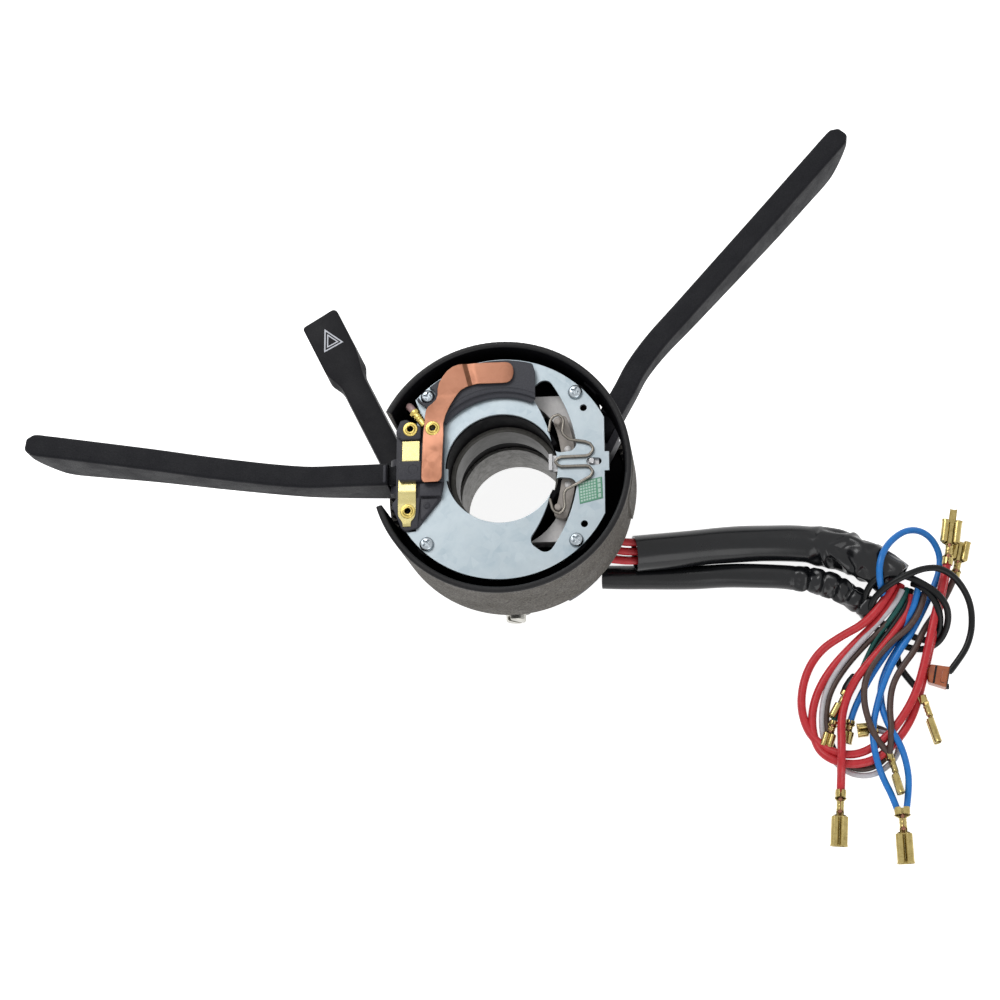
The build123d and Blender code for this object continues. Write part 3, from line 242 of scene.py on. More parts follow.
# %% Patchy metal
patch_group, given, out = effect(
    "patchy_metal",
    [
        ("Per metre", FLOAT, 260.0), ("Light", COLOUR, (0.7, 0.7, 0.7, 1)),
        ("Dark", COLOUR, (0.4, 0.4, 0.4, 1)),
    ],
    [("Colour", COLOUR), ("Patch", FLOAT)],
)
place, scale = own_place(patch_group), given.outputs["Per metre"]
cloud = cloudy(patch_group, place, scale, 5.0, 0.62, 0.6)
crystal_inputs = {"Vector": place, "Scale": calc(patch_group, "MULTIPLY", scale, 5.3)}
crystals = node(patch_group, "ShaderNodeTexVoronoi", crystal_inputs, feature="F1")
shade = node(patch_group, "ShaderNodeSeparateColor", {"Color": crystals.outputs["Color"]}).outputs["Red"]
amount = calc(patch_group, "MULTIPLY", remap(patch_group, cloud, 0.33, 0.68), shade)
soft = calc(patch_group, "MULTIPLY_ADD", cloud, 0.55, 0.05)
total = calc(patch_group, "MULTIPLY_ADD", amount, 0.55, soft, clamp=True)
two_tones = {0: total, 6: given.outputs["Light"], 7: given.outputs["Dark"]}
colour = node(patch_group, "ShaderNodeMix", two_tones, data_type="RGBA")
connect(patch_group, out, Colour=colour.outputs[2], Patch=total)
print("group", patch_group.name)

# %% Rolled lines and handling marks
line_group, given, out = effect(
    "rolled_lines", [
        ("Along X", FLOAT, 60.0), ("Along Y", FLOAT, 60.0), ("Along Z", FLOAT, 60.0),
    ], [("Lines", FLOAT)],
)
stretch = node(line_group, "ShaderNodeCombineXYZ", {axis: given.outputs[axis] for axis in range(3)})
stretched = {0: own_place(line_group), 1: stretch.outputs[0]}
place = node(line_group, "ShaderNodeVectorMath", stretched, operation="MULTIPLY").outputs[0]
connect(line_group, out, Lines=cloudy(line_group, place, 1.0, 3.0, 0.7))

mark_group, given, out = effect(
    "handling_marks", [("Per metre", FLOAT, 90.0)], [("Smudge", FLOAT), ("Scratch", FLOAT)],
)
place = own_place(mark_group)
smudge = remap(mark_group, cloudy(mark_group, place, given.outputs["Per metre"], 6.0, 0.7), 0.4, 0.7)
wave_inputs = {"Vector": place, "Scale": 900.0, "Distortion": 40.0, "Detail": 3.0, "Detail Scale": 0.35}
wave = node(mark_group, "ShaderNodeTexWave", wave_inputs).outputs["Fac"]
hair = calc(mark_group, "MULTIPLY", remap(mark_group, wave, 0.965, 1.0), smudge)
connect(mark_group, out, Smudge=smudge, Scratch=hair)
print("groups", line_group.name, mark_group.name)

# %% [markdown]
# ## Finishes: the materials
# Plastics and metals differ only in their numbers, so two short makers give every finish: one for
# plastic, with grain and smudges, and one for metal, with patches, lines and edge shine. A Bevel node
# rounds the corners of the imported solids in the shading, which is what catches light on real edges.

# %% Plastic maker
finishes = {}


def use(tree, group, **values):
    """A node that uses one of the shared groups; the values set its inputs."""
    made = node(tree, "ShaderNodeGroup", node_tree=group)
    for label, value in values.items():
        made.inputs[label.replace("_", " ")].default_value = value
    return made


def blank_finish(name):
    """A new finish: its node tree and its shader."""
    made = bpy.data.materials.new(name)
    made.use_nodes = True
    finishes[name] = made
    return made.node_tree, made.node_tree.nodes["Principled BSDF"]


def lay_relief(tree, skin, height, strength, distance, edge):
    """Gives the shader a bumpy surface whose corners look rounded."""
    corners = node(tree, "ShaderNodeBevel", {"Radius": edge}, samples=6).outputs["Normal"]
    values = {"Height": height, "Strength": strength, "Distance": distance, "Normal": corners}
    tree.links.new(node(tree, "ShaderNodeBump", values).outputs["Normal"], skin.inputs["Normal"])


def plastic(
    name, colour, fleck, roughness, grain=1600.0, relief=0.12, edge=0.0004, shine=0.5, coat=0.0, wear=0.35,
):
    """A moulded plastic: two close tones mixed by its grain, smudged shine, and a fine relief."""
    tree, skin = blank_finish(name)
    surface = use(tree, grain_group, Per_metre=grain)
    marks = use(tree, mark_group)
    tone = ramp(tree, surface.outputs["Fleck"], [(0.0, colour), (1.0, fleck)])
    tree.links.new(tone, skin.inputs["Base Color"])
    dullest = min(1.0, roughness * (1 + wear))
    tree.links.new(
        remap(tree, marks.outputs["Smudge"], 0.0, 1.0, roughness, dullest), skin.inputs["Roughness"],
    )
    lay_relief(tree, skin, surface.outputs["Height"], relief, 0.0002, edge)
    skin.inputs["Specular IOR Level"].default_value = shine
    skin.inputs["Coat Weight"].default_value = coat

# %% Plastic finishes
plastic(
    "stalk_black", (0.0060, 0.0062, 0.0080), (0.0165, 0.0170, 0.0205), 0.52, grain=2300, relief=0.5,
    shine=0.14, edge=0.0003,
)
plastic(
    "hazard_black", (0.0060, 0.0060, 0.0078), (0.0115, 0.0115, 0.0140), 0.46, grain=2600, relief=0.25,
    shine=0.14, edge=0.0004,
)
plastic(
    "housing_plastic", (0.038, 0.035, 0.031), (0.205, 0.190, 0.168), 0.66, grain=1250, relief=0.75,
    shine=0.25, edge=0.0005,
)
# Painted shade: the drum's inner wall, floor and hub, and the wall in its side window, are near-black for the
# shade inside the drum.
plastic(
    "housing_inside", (0.0030, 0.0029, 0.0038), (0.0060, 0.0058, 0.0070), 0.5, grain=900, relief=0.10,
    shine=0.05, edge=0.0004,
)
plastic(
    "contact_black", (0.034, 0.034, 0.042), (0.052, 0.052, 0.061), 0.42, grain=1500, relief=0.14, shine=0.22,
    edge=0.00025,
)
plastic(
    "arc_black", (0.036, 0.037, 0.046), (0.056, 0.058, 0.068), 0.42, grain=1800, relief=0.16, shine=0.22,
    edge=0.0003,
)
plastic("ring_grey", (0.095, 0.092, 0.083), (0.135, 0.131, 0.120), 0.34, grain=700, relief=0.10, shine=0.3)
plastic("switch_nylon", (0.70, 0.68, 0.675), (0.80, 0.78, 0.765), 0.42, grain=700, relief=0.05)
plastic("pawl_nylon", (0.29, 0.26, 0.235), (0.37, 0.335, 0.305), 0.36, grain=700, relief=0.06)
plastic(
    "sleeve_black", (0.0045, 0.0050, 0.0062), (0.0075, 0.0081, 0.0098), 0.2, grain=350, relief=0.04,
    shine=0.36, edge=0.0001, wear=0.5,
)
plastic(
    "wire_red", (0.50, 0.022, 0.030), (0.62, 0.036, 0.046), 0.34, grain=500, relief=0.03, edge=0.00005,
    shine=0.35,
)
plastic(
    "wire_blue", (0.014, 0.175, 0.56), (0.022, 0.215, 0.64), 0.33, grain=500, relief=0.03, edge=0.00005,
    shine=0.35,
)
plastic(
    "wire_black", (0.0045, 0.0052, 0.0056), (0.009, 0.0098, 0.0105), 0.3, grain=600, relief=0.05,
    edge=0.00005, shine=0.2,
)
plastic(
    "wire_brown", (0.066, 0.040, 0.034), (0.098, 0.062, 0.052), 0.38, grain=600, relief=0.04, edge=0.00005,
    shine=0.3,
)
plastic("wire_grey", (0.50, 0.49, 0.52), (0.60, 0.59, 0.62), 0.38, grain=600, relief=0.03, edge=0.00005)
plastic(
    "wire_green", (0.004, 0.070, 0.060), (0.006, 0.100, 0.086), 0.34, grain=600, relief=0.03, edge=0.00005,
    shine=0.3,
)
plastic("lead_pink", (0.30, 0.19, 0.185), (0.40, 0.27, 0.26), 0.36, grain=600, relief=0.04)
plastic("connector_amber", (0.33, 0.070, 0.018), (0.46, 0.130, 0.034), 0.22, grain=300, relief=0.05, coat=0.3)
plastic(
    "housing_rim", (0.0075, 0.0075, 0.0085), (0.014, 0.0138, 0.0145), 0.36, grain=1200, relief=0.12,
    shine=0.22, edge=0.0005,
)
plastic("label_green", (0.100, 0.300, 0.190), (0.170, 0.400, 0.270), 0.6, grain=2500, relief=0.1)
plastic("label_pale", (0.42, 0.60, 0.52), (0.55, 0.70, 0.62), 0.6, grain=2500, relief=0.1)
plastic("mark_white", (0.60, 0.62, 0.68), (0.72, 0.74, 0.80), 0.5, grain=2500, relief=0.1)
print("plastics:", len(finishes))

# %% Metal maker
def metal(name, light, dark, roughness, patches=260.0, lines=None, relief=0.05, edge=0.0002, scratch=0.25):
    """A bare or plated metal: two tones in patches, rolled lines, hair scratches and rounded edges."""
    tree, skin = blank_finish(name)
    skin.inputs["Metallic"].default_value = 1.0
    patch = use(tree, patch_group, Per_metre=patches, Light=(*light, 1), Dark=(*dark, 1))
    marks = use(tree, mark_group, Per_metre=120.0)
    tree.links.new(patch.outputs["Colour"], skin.inputs["Base Color"])
    gloss = remap(tree, patch.outputs["Patch"], 0.0, 1.0, roughness * 0.8, roughness * 1.35)
    gloss = calc(tree, "MULTIPLY_ADD", marks.outputs["Smudge"], roughness * scratch, gloss)
    tree.links.new(gloss, skin.inputs["Roughness"])
    height = marks.outputs["Scratch"]
    if lines:
        rolled = use(tree, line_group, Along_X=lines[0], Along_Y=lines[1], Along_Z=lines[2])
        height = calc(tree, "ADD", rolled.outputs["Lines"], height)
    lay_relief(tree, skin, height, relief, 0.0001, edge)

# %% Metal finishes
metal(
    "plate_zinc", (0.37, 0.415, 0.44), (0.26, 0.315, 0.35), 0.34, patches=70, lines=(2200, 2200, 900),
    relief=0.12,
)
metal("cast_zinc", (0.26, 0.255, 0.245), (0.14, 0.137, 0.130), 0.46, patches=420, relief=0.3)
metal("screw_steel", (0.50, 0.545, 0.58), (0.26, 0.30, 0.33), 0.24, patches=700, relief=0.12)
metal("clamp_steel", (0.62, 0.61, 0.56), (0.36, 0.35, 0.32), 0.3, patches=500, relief=0.15)
metal("pin_steel", (0.52, 0.52, 0.53), (0.34, 0.34, 0.35), 0.25, patches=300, relief=0.05)
metal("spring_wire", (0.27, 0.25, 0.22), (0.14, 0.128, 0.112), 0.28, patches=500, relief=0.08, edge=0.0001)
metal(
    "copper", (0.30, 0.142, 0.092), (0.22, 0.096, 0.058), 0.3, patches=60, lines=(2600, 160, 900),
    relief=0.10, scratch=0.5,
)
# Painted shade: a darker, duller copper for the shaded crease of the horn contact.
metal("copper_dull", (0.15, 0.068, 0.040), (0.10, 0.044, 0.026), 0.42, patches=110)
metal("brass", (0.66, 0.53, 0.17), (0.46, 0.34, 0.09), 0.24, patches=260, lines=(900, 900, 900), relief=0.08)
metal(
    "terminal_brass", (0.54, 0.435, 0.180), (0.25, 0.185, 0.060), 0.22, patches=420, lines=(900, 900, 900),
    relief=0.08,
)
metal(
    "leaf_brass", (0.58, 0.515, 0.25), (0.44, 0.37, 0.145), 0.24, patches=150, lines=(2200, 160, 900),
    relief=0.06,
)
print("finishes:", len(finishes))

# %% [markdown]
# ## Mesh helpers
# Sleeves and stamped terminals are rows of points joined into strips. One helper turns rows into a
# mesh, and one makes a finished piece of it: smooth shading with sharp corners kept, a material, the
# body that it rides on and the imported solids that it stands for. The others join meshes, weld them,
# and cut holes with a Boolean modifier.

# %% Rows to a mesh, mesh to a piece
def circle(radius, count):
    """Points round a circle, as (x, y)."""
    angles = [2 * math.pi * k / count for k in range(count)]
    return [(radius * math.cos(a), radius * math.sin(a)) for a in angles]


def rows_to_mesh(rows, closed_ring=True, cap_start=True, cap_end=True):
    """A mesh from rows of points with the same count; a closed ring joins last to first."""
    made = bmesh.new()
    grid = [[made.verts.new(p) for p in row] for row in rows]
    count = len(rows[0])
    spans = count if closed_ring else count - 1
    for here, there in zip(grid, grid[1:]):
        for i in range(spans):
            j = (i + 1) % count
            made.faces.new((here[i], here[j], there[j], there[i]))
    if closed_ring and cap_start:
        made.faces.new(list(reversed(grid[0])))
    if closed_ring and cap_end:
        made.faces.new(grid[-1])
    bmesh.ops.recalc_face_normals(made, faces=made.faces)
    mesh = bpy.data.meshes.new("rows")
    made.to_mesh(mesh)
    made.free()
    return mesh


def add_piece(mesh, name, finish, body, replaces=(), sharp=38):
    """A finished piece on its body; finish is a name, some names, or None if the mesh has its own."""
    mesh.name = name
    mesh.shade_smooth()
    mesh.set_sharp_from_angle(angle=math.radians(sharp))
    for one in [finish] if isinstance(finish, str) else finish or ():
        mesh.materials.append(finishes[one])
    piece = add_object(name, mesh)
    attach(piece, body)
    if replaces:
        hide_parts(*replaces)
    print(name, len(mesh.polygons), "faces")
    return piece


def merged(*meshes):
    """Several meshes as one."""
    made = bmesh.new()
    for mesh in meshes:
        made.from_mesh(mesh)
        bpy.data.meshes.remove(mesh)
    mesh = bpy.data.meshes.new("merged")
    made.to_mesh(mesh)
    made.free()
    return mesh


def welded(mesh):
    """The mesh with its doubled points merged and its faces turned outwards."""
    made = bmesh.new()
    made.from_mesh(mesh)
    bmesh.ops.remove_doubles(made, verts=made.verts, dist=1e-7)
    bmesh.ops.recalc_face_normals(made, faces=made.faces)
    made.to_mesh(mesh)
    made.free()
    return mesh


def bored(mesh, *cutters):
    """The mesh with closed cutters taken from it."""
    blank = add_object("blank", mesh)
    tools = []
    for cutter in cutters:
        tools.append(add_object("cutter", cutter))
        cut = blank.modifiers.new("cut", "BOOLEAN")
        cut.operation, cut.object, cut.solver = "DIFFERENCE", tools[-1], "EXACT"
    out = final_mesh(blank)
    for used in [blank, *tools]:
        bpy.data.objects.remove(used)
    return out


def round_cutter(x, y, bottom, top, radius, count=40):
    """An upright cylinder in millimetres, for cutting a round hole."""
    ring = circle(radius, count)
    return rows_to_mesh([[Vector((x + a, y + b, z)) * MM for a, b in ring] for z in (bottom, top)])


def evened(points, step):
    """The same line with points an even step apart."""
    lengths = [0.0]
    for a, b in zip(points, points[1:]):
        lengths.append(lengths[-1] + (b - a).length)
    count = max(2, round(lengths[-1] / step))
    out, k = [], 0
    for i in range(count + 1):
        target = lengths[-1] * i / count
        while k < len(lengths) - 2 and lengths[k + 1] < target:
            k += 1
        share = (target - lengths[k]) / max(1e-9, lengths[k + 1] - lengths[k])
        out.append(points[k].lerp(points[k + 1], min(1.0, share)))
    return out


def nurbs_curve(name, route, resolution):
    """A smooth curve through control points in metres."""
    line = bpy.data.curves.new(name, "CURVE")
    line.dimensions = "3D"
    line.resolution_u = resolution
    spline = line.splines.new("NURBS")
    spline.points.add(len(route) - 1)
    for point, spot in zip(spline.points, route):
        point.co = (*spot, 1)
    spline.order_u = 3
    spline.use_endpoint_u = True
    return add_object(name, line)


def centre_line(piece):
    """The points of a curve's own line, which has no bevel yet."""
    flat = final_mesh(piece)
    points = [v.co.copy() for v in flat.vertices]
    bpy.data.meshes.remove(flat)
    return points


def nurbs_line(route):
    """The smooth line through control points, as points."""
    holder = nurbs_curve("route", route, 16)
    points = centre_line(holder)
    bpy.data.objects.remove(holder)
    return points

# %% [markdown]
# ## Push-on terminals
# A push-on terminal is one stamped strip of brass: two wings wrap the insulation, two smaller ones
# grip the strands, and the far end is rolled up on both sides to hold a blade. So it is modelled as
# the strip that it is, as cross-sections along its length with the same points in each. A Solidify
# modifier gives the sheet its thickness.

# %% Cross-sections of the strip
STRIP_STEPS = 30
SHEET = 0.34  # the strip's thickness
MIDDLE = 0.22  # from the wire's side to the middle of the strip
LOW = 0.18  # from the ground to the middle of the strip
ABOVE_GROUND = 0.00002  # the least height of a low piece, in metres
STRANDS = ((2.4, 0.95), (3.2, 1.0), (6.9, 0.95), (8.3, 0.85), (8.6, 0.5))  # (place, radius)


def wrapped(half_width, half_height, lift, gap):
    """A section that wraps a wire, with its seam on top."""
    out = []
    for i in range(STRIP_STEPS + 1):
        a = (2 * i / STRIP_STEPS - 1) * (math.pi - gap)
        out.append((half_width * math.sin(a), lift + half_height * (1 - math.cos(a))))
    return out


def trough(width, height, lift=0.0):
    """An open shallow section."""
    out = []
    for i in range(STRIP_STEPS + 1):
        t = 2 * i / STRIP_STEPS - 1
        out.append(
            (
                width / 2 * math.copysign(min(1, abs(t) * 1.35), t),
                lift + height * max(0.0, abs(t) - 0.74) / 0.26,
            )
        )
    return out


def rolled(width, roll, lift=0.0, curl=1.45):
    """A flat middle whose two sides curl up and in, down to the middle's face."""
    out = []
    flat = width / 2 - roll
    reach = flat + math.pi * curl * roll
    for i in range(STRIP_STEPS + 1):
        t = 2 * i / STRIP_STEPS - 1
        along = abs(t) * reach
        if along < flat:
            x, y = along, 0.0
        else:
            a = (along - flat) / roll
            x, y = flat + roll * math.sin(a), roll * (1 - math.cos(a))
        out.append((math.copysign(x, t), lift + y))
    return out

# %% One terminal
def terminal(
    name, tip, before, wire_radius, width, tall, length, node_name=None, edge=False, wires_wide=1, scale=1.0,
    tongue=0.0,
):
    """A terminal at a wire's end, in millimetres; tongue is how far its middle runs on past the rolls."""
    tip, before = Vector(tip), Vector(before)
    heading = (tip - before).normalized()
    flat = Vector((-heading.y, heading.x, 0)).normalized()
    across = Vector((0, 0, 1)) if edge else flat
    up = heading.cross(across)
    if edge:
        sink = Vector((0, 0, wire_radius - width / 2)) + up * (tall / 2)
    else:
        sink = Vector((0, 0, wire_radius))
    origin = tip - heading - sink
    grip = wire_radius * wires_wide + MIDDLE
    high = wire_radius + MIDDLE
    centre = tall / 2 - high if edge else LOW
    roll = min(tall / 2 - 0.12, 1.35)
    neck = 4.2 + length * 0.25
    sections = [
        (-0.1, wrapped(grip, high, centre, 0.22)), (1.1, wrapped(grip + 0.08, high, centre, 0.10)),
        (2.6, wrapped(grip, high, centre, 0.16)), (2.9, trough(2 * grip + 0.6, 1.7, centre)),
        (3.7, trough(2.7, 1.5, centre)), (4.1, wrapped(1.25, 1.15, centre, 0.14)),
        (5.2, wrapped(1.15, 1.0, centre, 0.06)), (5.6, wrapped(1.25, 1.12, centre, 0.06)),
        (6.6, wrapped(1.15, 1.0, centre, 0.06)), (7.4, wrapped(1.3, 1.15, centre, 0.3)),
        (7.9, trough(2.6, 1.1, centre * 0.5)), (neck - 0.5, trough(2.5, 0.5, centre * 0.3)),
        (neck, rolled(width * 0.80, roll * 0.75, 0.2, 0.7)), (neck + 0.5, rolled(width, roll, 0.2)),
        (neck + (length - neck) * 0.5, rolled(width, roll, 0.2)), (length - 0.9, rolled(width, roll, 0.2)),
        (length, rolled(width + 0.5, roll, 0.12, 1.3)),
    ]
    if tongue:
        sections += [(length + 0.3, trough(2.6, 1.0, 0.2)), (length + tongue, trough(2.3, 1.1, 0.9))]
    rows = []
    for (z0, a), (z1, b) in zip(sections, sections[1:]):
        steps = 2 if z1 - z0 > 0.4 else 1
        for k in range(steps):
            share = k / steps
            between = [
                ((1 - share) * p[0] + share * q[0], (1 - share) * p[1] + share * q[1]) for p, q in zip(a, b)
            ]
            rows.append((z0 + (z1 - z0) * share, between))
    rows.append((sections[-1][0], sections[-1][1]))
    placed = [
        [(origin + across * x + up * y + heading * (z * scale)) * MM for x, y in row] for z, row in rows
    ]
    holder = add_object("sheet", rows_to_mesh(placed, closed_ring=False))
    thick = holder.modifiers.new("thickness", "SOLIDIFY")
    thick.thickness = SHEET * MM
    thick.offset = 0.0
    solid = final_mesh(holder)
    bpy.data.objects.remove(holder)
    strands = []
    for z, r in STRANDS:
        middle, ring = origin + up * (centre + 1.2) + heading * (z * scale), []
        for k in range(14):
            a = 2 * math.pi * k / 14
            rough = r + 0.10 * noise.noise(Vector((z * 9, k * 3.1, len(name))))
            ring.append((middle + across * (rough * math.cos(a)) + up * (rough * math.sin(a))) * MM)
        strands.append(ring)
    joined = bmesh.new()
    joined.from_mesh(solid)
    brass_faces = len(joined.faces)
    joined.from_mesh(rows_to_mesh(strands))
    joined.faces.ensure_lookup_table()
    for face in joined.faces[brass_faces:]:
        face.material_index = 1
    lowest = min(v.co.z for v in joined.verts)
    if lowest < 0:
        bmesh.ops.translate(joined, verts=joined.verts, vec=(0, 0, ABOVE_GROUND - lowest))
    joined.to_mesh(solid)
    joined.free()
    shown = (node_name,) if node_name else ()
    return add_piece(solid, name, ["terminal_brass", "copper"], "housing", shown, sharp=42)


terminal(
    "push_on_red", (164.3, -26.0, 7.0), (162.4, -37.6, 7.0), 1.6, 7.2, 3.4, 17.6, "terminal_1", tongue=4.6,
)
terminal(
    "push_on_brown", (167.4, -29.8, 1.4), (165.6, -37.5, 1.4), 1.3, 6.6, 2.8, 18.0, "terminal_2", scale=0.82,
)
terminal("push_on_red_low", (120.9, -112.6, 1.8), (121.5, -104.1, 1.8), 1.6, 6.0, 3.2, 21.0, "terminal_3")
terminal(
    "push_on_blue", (143.3, -119.4, 1.6), (143.2, -116.0, 1.6), 1.3, 6.0, 3.0, 21.0, "terminal_4",
    wires_wide=1.9,
)
terminal(
    "push_on_pair", (139.3, -99.0, 1.6), (138.9, -97.5, 1.6), 1.3, 6.0, 2.8, 16.0, "terminal_5", edge=True,
    wires_wide=1.5,
)
terminal(
    "push_on_black", (152.7, -77.8, 1.8), (151.4, -73.4, 1.8), 1.3, 6.0, 2.8, 18.5, "terminal_6", edge=True,
)
terminal("push_on_boot", (123.6, -75.2, 2.0), (125.1, -72.5, 2.0), 1.3, 5.0, 2.6, 18.0, edge=True, scale=0.62)
terminal("push_on_green", (119.0, -86.6, 3.4), (119.7, -84.5, 3.4), 1.1, 4.6, 2.5, 18.0, scale=0.56)
terminal("push_on_blue_short", (125.4, -86.2, 1.4), (126.5, -82.3, 1.4), 1.3, 4.4, 2.6, 18.0, scale=0.48)
terminal(
    "push_on_grey_pair", (134.6, -88.4, 1.2), (139.0, -88.0, 1.2), 1.1, 5.0, 2.4, 18.0, wires_wide=1.7,
    scale=0.42,
)

# %% [markdown]
# ## The wire boot
# A soft insulating boot covers the back of one terminal. It is a tube that swells in the middle, so
# it is a ring swept along a short line with a radius of its own at each point.

# %% The wire boot
def tube(points, radii, squash=1.0, count=20):
    """A tube through points in millimetres with a radius at each."""
    points = [Vector(p) for p in points]
    rows = []
    for i, p in enumerate(points):
        ahead = (points[min(i + 1, len(points) - 1)] - points[max(i - 1, 0)]).normalized()
        side = Vector((-ahead.y, ahead.x, 0)).normalized()
        up = side.cross(ahead)
        rows.append([(p + side * a + up * (squash * b)) * MM for a, b in circle(radii[i], count)])
    return rows_to_mesh(rows)


BOOT_LINE = [
    (128.4, -68.2, 2.2), (128.1, -68.6, 2.2), (126.6, -70.5, 2.2), (125.0, -72.8, 2.2), (124.0, -74.6, 2.2),
    (123.8, -75.0, 2.2),
]
boot = tube(BOOT_LINE, [1.7, 2.0, 2.15, 2.1, 1.85, 1.6])
add_piece(boot, "wire_boot", "wire_black", "housing")

# %% [markdown]
# ## The two long levers
# Each lever is one moulding: a blade with a narrow flat face and deep sides, and a tongue that turns
# on a pin inside the drum. A moulded blade is best drawn as cross-sections along a line, so the few
# stations that fix its shape are given once, and a smooth curve through them fills in the rest.

# %% Rounded outlines and smooth stations
def rounded_outline(corners, radii, steps=6):
    """A closed polygon whose corners are rounded, each with its own radius."""
    out, count = [], len(corners)
    for i, (corner, radius) in enumerate(zip(corners, radii)):
        here = Vector(corner)
        back, on = Vector(corners[i - 1]) - here, Vector(corners[(i + 1) % count]) - here
        half = back.angle(on) / 2
        reach = min(max(radius, 0.01) / math.tan(half), 0.49 * back.length, 0.49 * on.length)
        back.normalize()
        on.normalize()
        centre = here + (back + on).normalized() * (reach / math.cos(half))
        first, last = here + back * reach - centre, here + on * reach - centre
        for k in range(steps + 1):
            out.append(centre + first.lerp(last, k / steps).normalized() * first.length)
    return out


def smooth_stations(stations, steps):
    """The stations with more between them, on a curve that passes through each one."""
    places = [0.0]
    for a, b in zip(stations, stations[1:]):
        places.append(places[-1] + math.hypot(b[0] - a[0], b[1] - a[1]))
    last = len(stations) - 1
    rows = []
    for i in range(last):
        span = places[i + 1] - places[i]
        before, after = max(i - 1, 0), min(i + 2, last)
        for k in range(steps):
            t = k / steps
            row = []
            for value in range(len(stations[0])):
                p, q = stations[i][value], stations[i + 1][value]
                slope_p = (q - stations[before][value]) / (places[i + 1] - places[before])
                slope_q = (stations[after][value] - p) / (places[after] - places[i])
                row.append(
                    (2 * t ** 3 - 3 * t ** 2 + 1) * p + (t ** 3 - 2 * t ** 2 + t) * span * slope_p
                    + (3 * t ** 2 - 2 * t ** 3) * q + (t ** 3 - t ** 2) * span * slope_q
                )
            rows.append(row)
    rows.append(list(stations[-1]))
    return rows


print("outline helpers ready")

# %% A blade and its tongue
def blade(stations, hinge_z, turn):
    """Rows of a rounded section along the lever, closed by a rounded tip; millimetres in."""
    rows = smooth_stations(stations, 8)
    a = math.radians(turn)
    placed = []
    for i, (x, y, top, depth, upper, lower) in enumerate(rows):
        before, after = rows[max(i - 1, 0)], rows[min(i + 1, len(rows) - 1)]
        travel = Vector((after[0] - before[0], after[1] - before[1], 0)).normalized()
        if i == 0:
            travel = Vector((math.cos(a), math.sin(a), 0))
        side = Vector((-travel.y, travel.x, 0))
        back = min(3.4, 0.45 * depth, 0.8 * lower)
        outline = rounded_outline(
            [(-upper, 0), (upper, 0), (lower, -depth), (-lower, -depth)], [1.1, 1.1, back, back], 7,
        )
        placed.append([Vector((x, y, hinge_z + top)) + side * p.x + Vector((0, 0, p.y)) for p in outline])
    tip = placed[-1]
    middle = sum(tip, Vector()) / len(tip)
    for scale, ahead in ((0.90, 0.45), (0.72, 0.85), (0.42, 1.1)):
        placed.append([middle + (p - middle) * scale + travel * ahead for p in tip])
    return rows_to_mesh([[p * MM for p in row] for row in placed])


def tongue(hinge, turn, width=7.0, reach=5.3, radius=4.5, bore=1.58):
    """The eye that turns on the lever's pin, with a straight shank that runs into the blade."""
    a = math.radians(turn)
    along = Vector((math.cos(a), math.sin(a), 0))
    far = Vector((-math.sin(a), math.cos(a), 0)) * (width / 2)
    hinge, near = Vector(hinge), -far
    inner, outer = [], []
    for c, s in circle(1.0, 64):
        r = radius if c <= 0 else min(reach / max(c, 1e-6), radius / max(abs(s), 1e-6))
        inner.append(along * (bore * c) + Vector((0, 0, bore * s)))
        outer.append(along * (r * c) + Vector((0, 0, r * s)))
    soft = [p * 0.94 for p in outer]
    sections = [
        (inner, near), (soft, near), (outer, near * 0.93), (outer, far * 0.93), (soft, far), (inner, far),
        (inner, near),
    ]
    rows = [[(hinge + p + side) * MM for p in points] for points, side in sections]
    return welded(rows_to_mesh(rows, cap_start=False, cap_end=False))


print("lever helpers ready")

# %% Turn lever
TURN_BLADE = [
    (-43.3, 0.9, 7.0, 19.2, 4.2, 5.0), (-59.3, 0.8, 7.0, 17.0, 4.2, 4.9), (-76.0, 1.0, 7.0, 14.2, 4.2, 4.8),
    (-104.8, 4.6, 7.9, 14.8, 4.2, 4.9), (-134.2, 9.3, 9.1, 17.0, 4.2, 5.2),
    (-156.5, 12.7, 9.9, 20.0, 4.2, 5.3), (-168.0, 14.4, 10.4, 20.6, 4.2, 5.3),
    (-173.5, 15.2, 10.6, 16.4, 4.2, 5.0), (-178.8, 16.0, 10.8, 9.0, 4.0, 4.4),
    (-181.0, 16.3, 10.4, 5.6, 2.8, 3.0),
]
TURN_HINGE, TURN_WAY = (-38.5, 0.9, 50.0), 180
turn_mesh = merged(blade(TURN_BLADE, TURN_HINGE[2], TURN_WAY), tongue(TURN_HINGE, TURN_WAY))
add_piece(turn_mesh, "turn_lever", "stalk_black", "indicator_stalk", ("turn_stalk",), sharp=50)

# %% Wiper lever
WIPER_BLADE = [
    (38.95, 24.97, 6.5, 11.5, 4.1, 4.6), (44.6, 34.9, 6.5, 10.8, 4.1, 4.6), (49.3, 43.7, 6.5, 10.8, 4.1, 4.6),
    (56.6, 53.6, 6.8, 12.0, 4.1, 4.7), (67.5, 65.6, 7.5, 14.0, 4.1, 4.8), (98.7, 100.0, 9.5, 18.0, 4.1, 5.2),
    (113.3, 116.2, 10.5, 19.0, 4.1, 5.2), (121.5, 125.3, 11.1, 19.0, 4.1, 5.1),
    (125.2, 129.4, 11.3, 14.0, 4.1, 4.9), (128.2, 132.7, 11.4, 7.4, 3.9, 4.3),
    (129.5, 134.2, 11.0, 4.8, 2.7, 3.0),
]
WIPER_WAY, WIPER_PIN, WIPER_ARM = 63.4, (31.2, 9.5, 38.5), 12.5
WIPER_HINGE = (
    WIPER_PIN[0] + WIPER_ARM * math.cos(math.radians(WIPER_WAY)),
    WIPER_PIN[1] + WIPER_ARM * math.sin(math.radians(WIPER_WAY)), WIPER_PIN[2],
)
wiper_mesh = merged(blade(WIPER_BLADE, WIPER_HINGE[2], WIPER_WAY), tongue(WIPER_HINGE, WIPER_WAY))
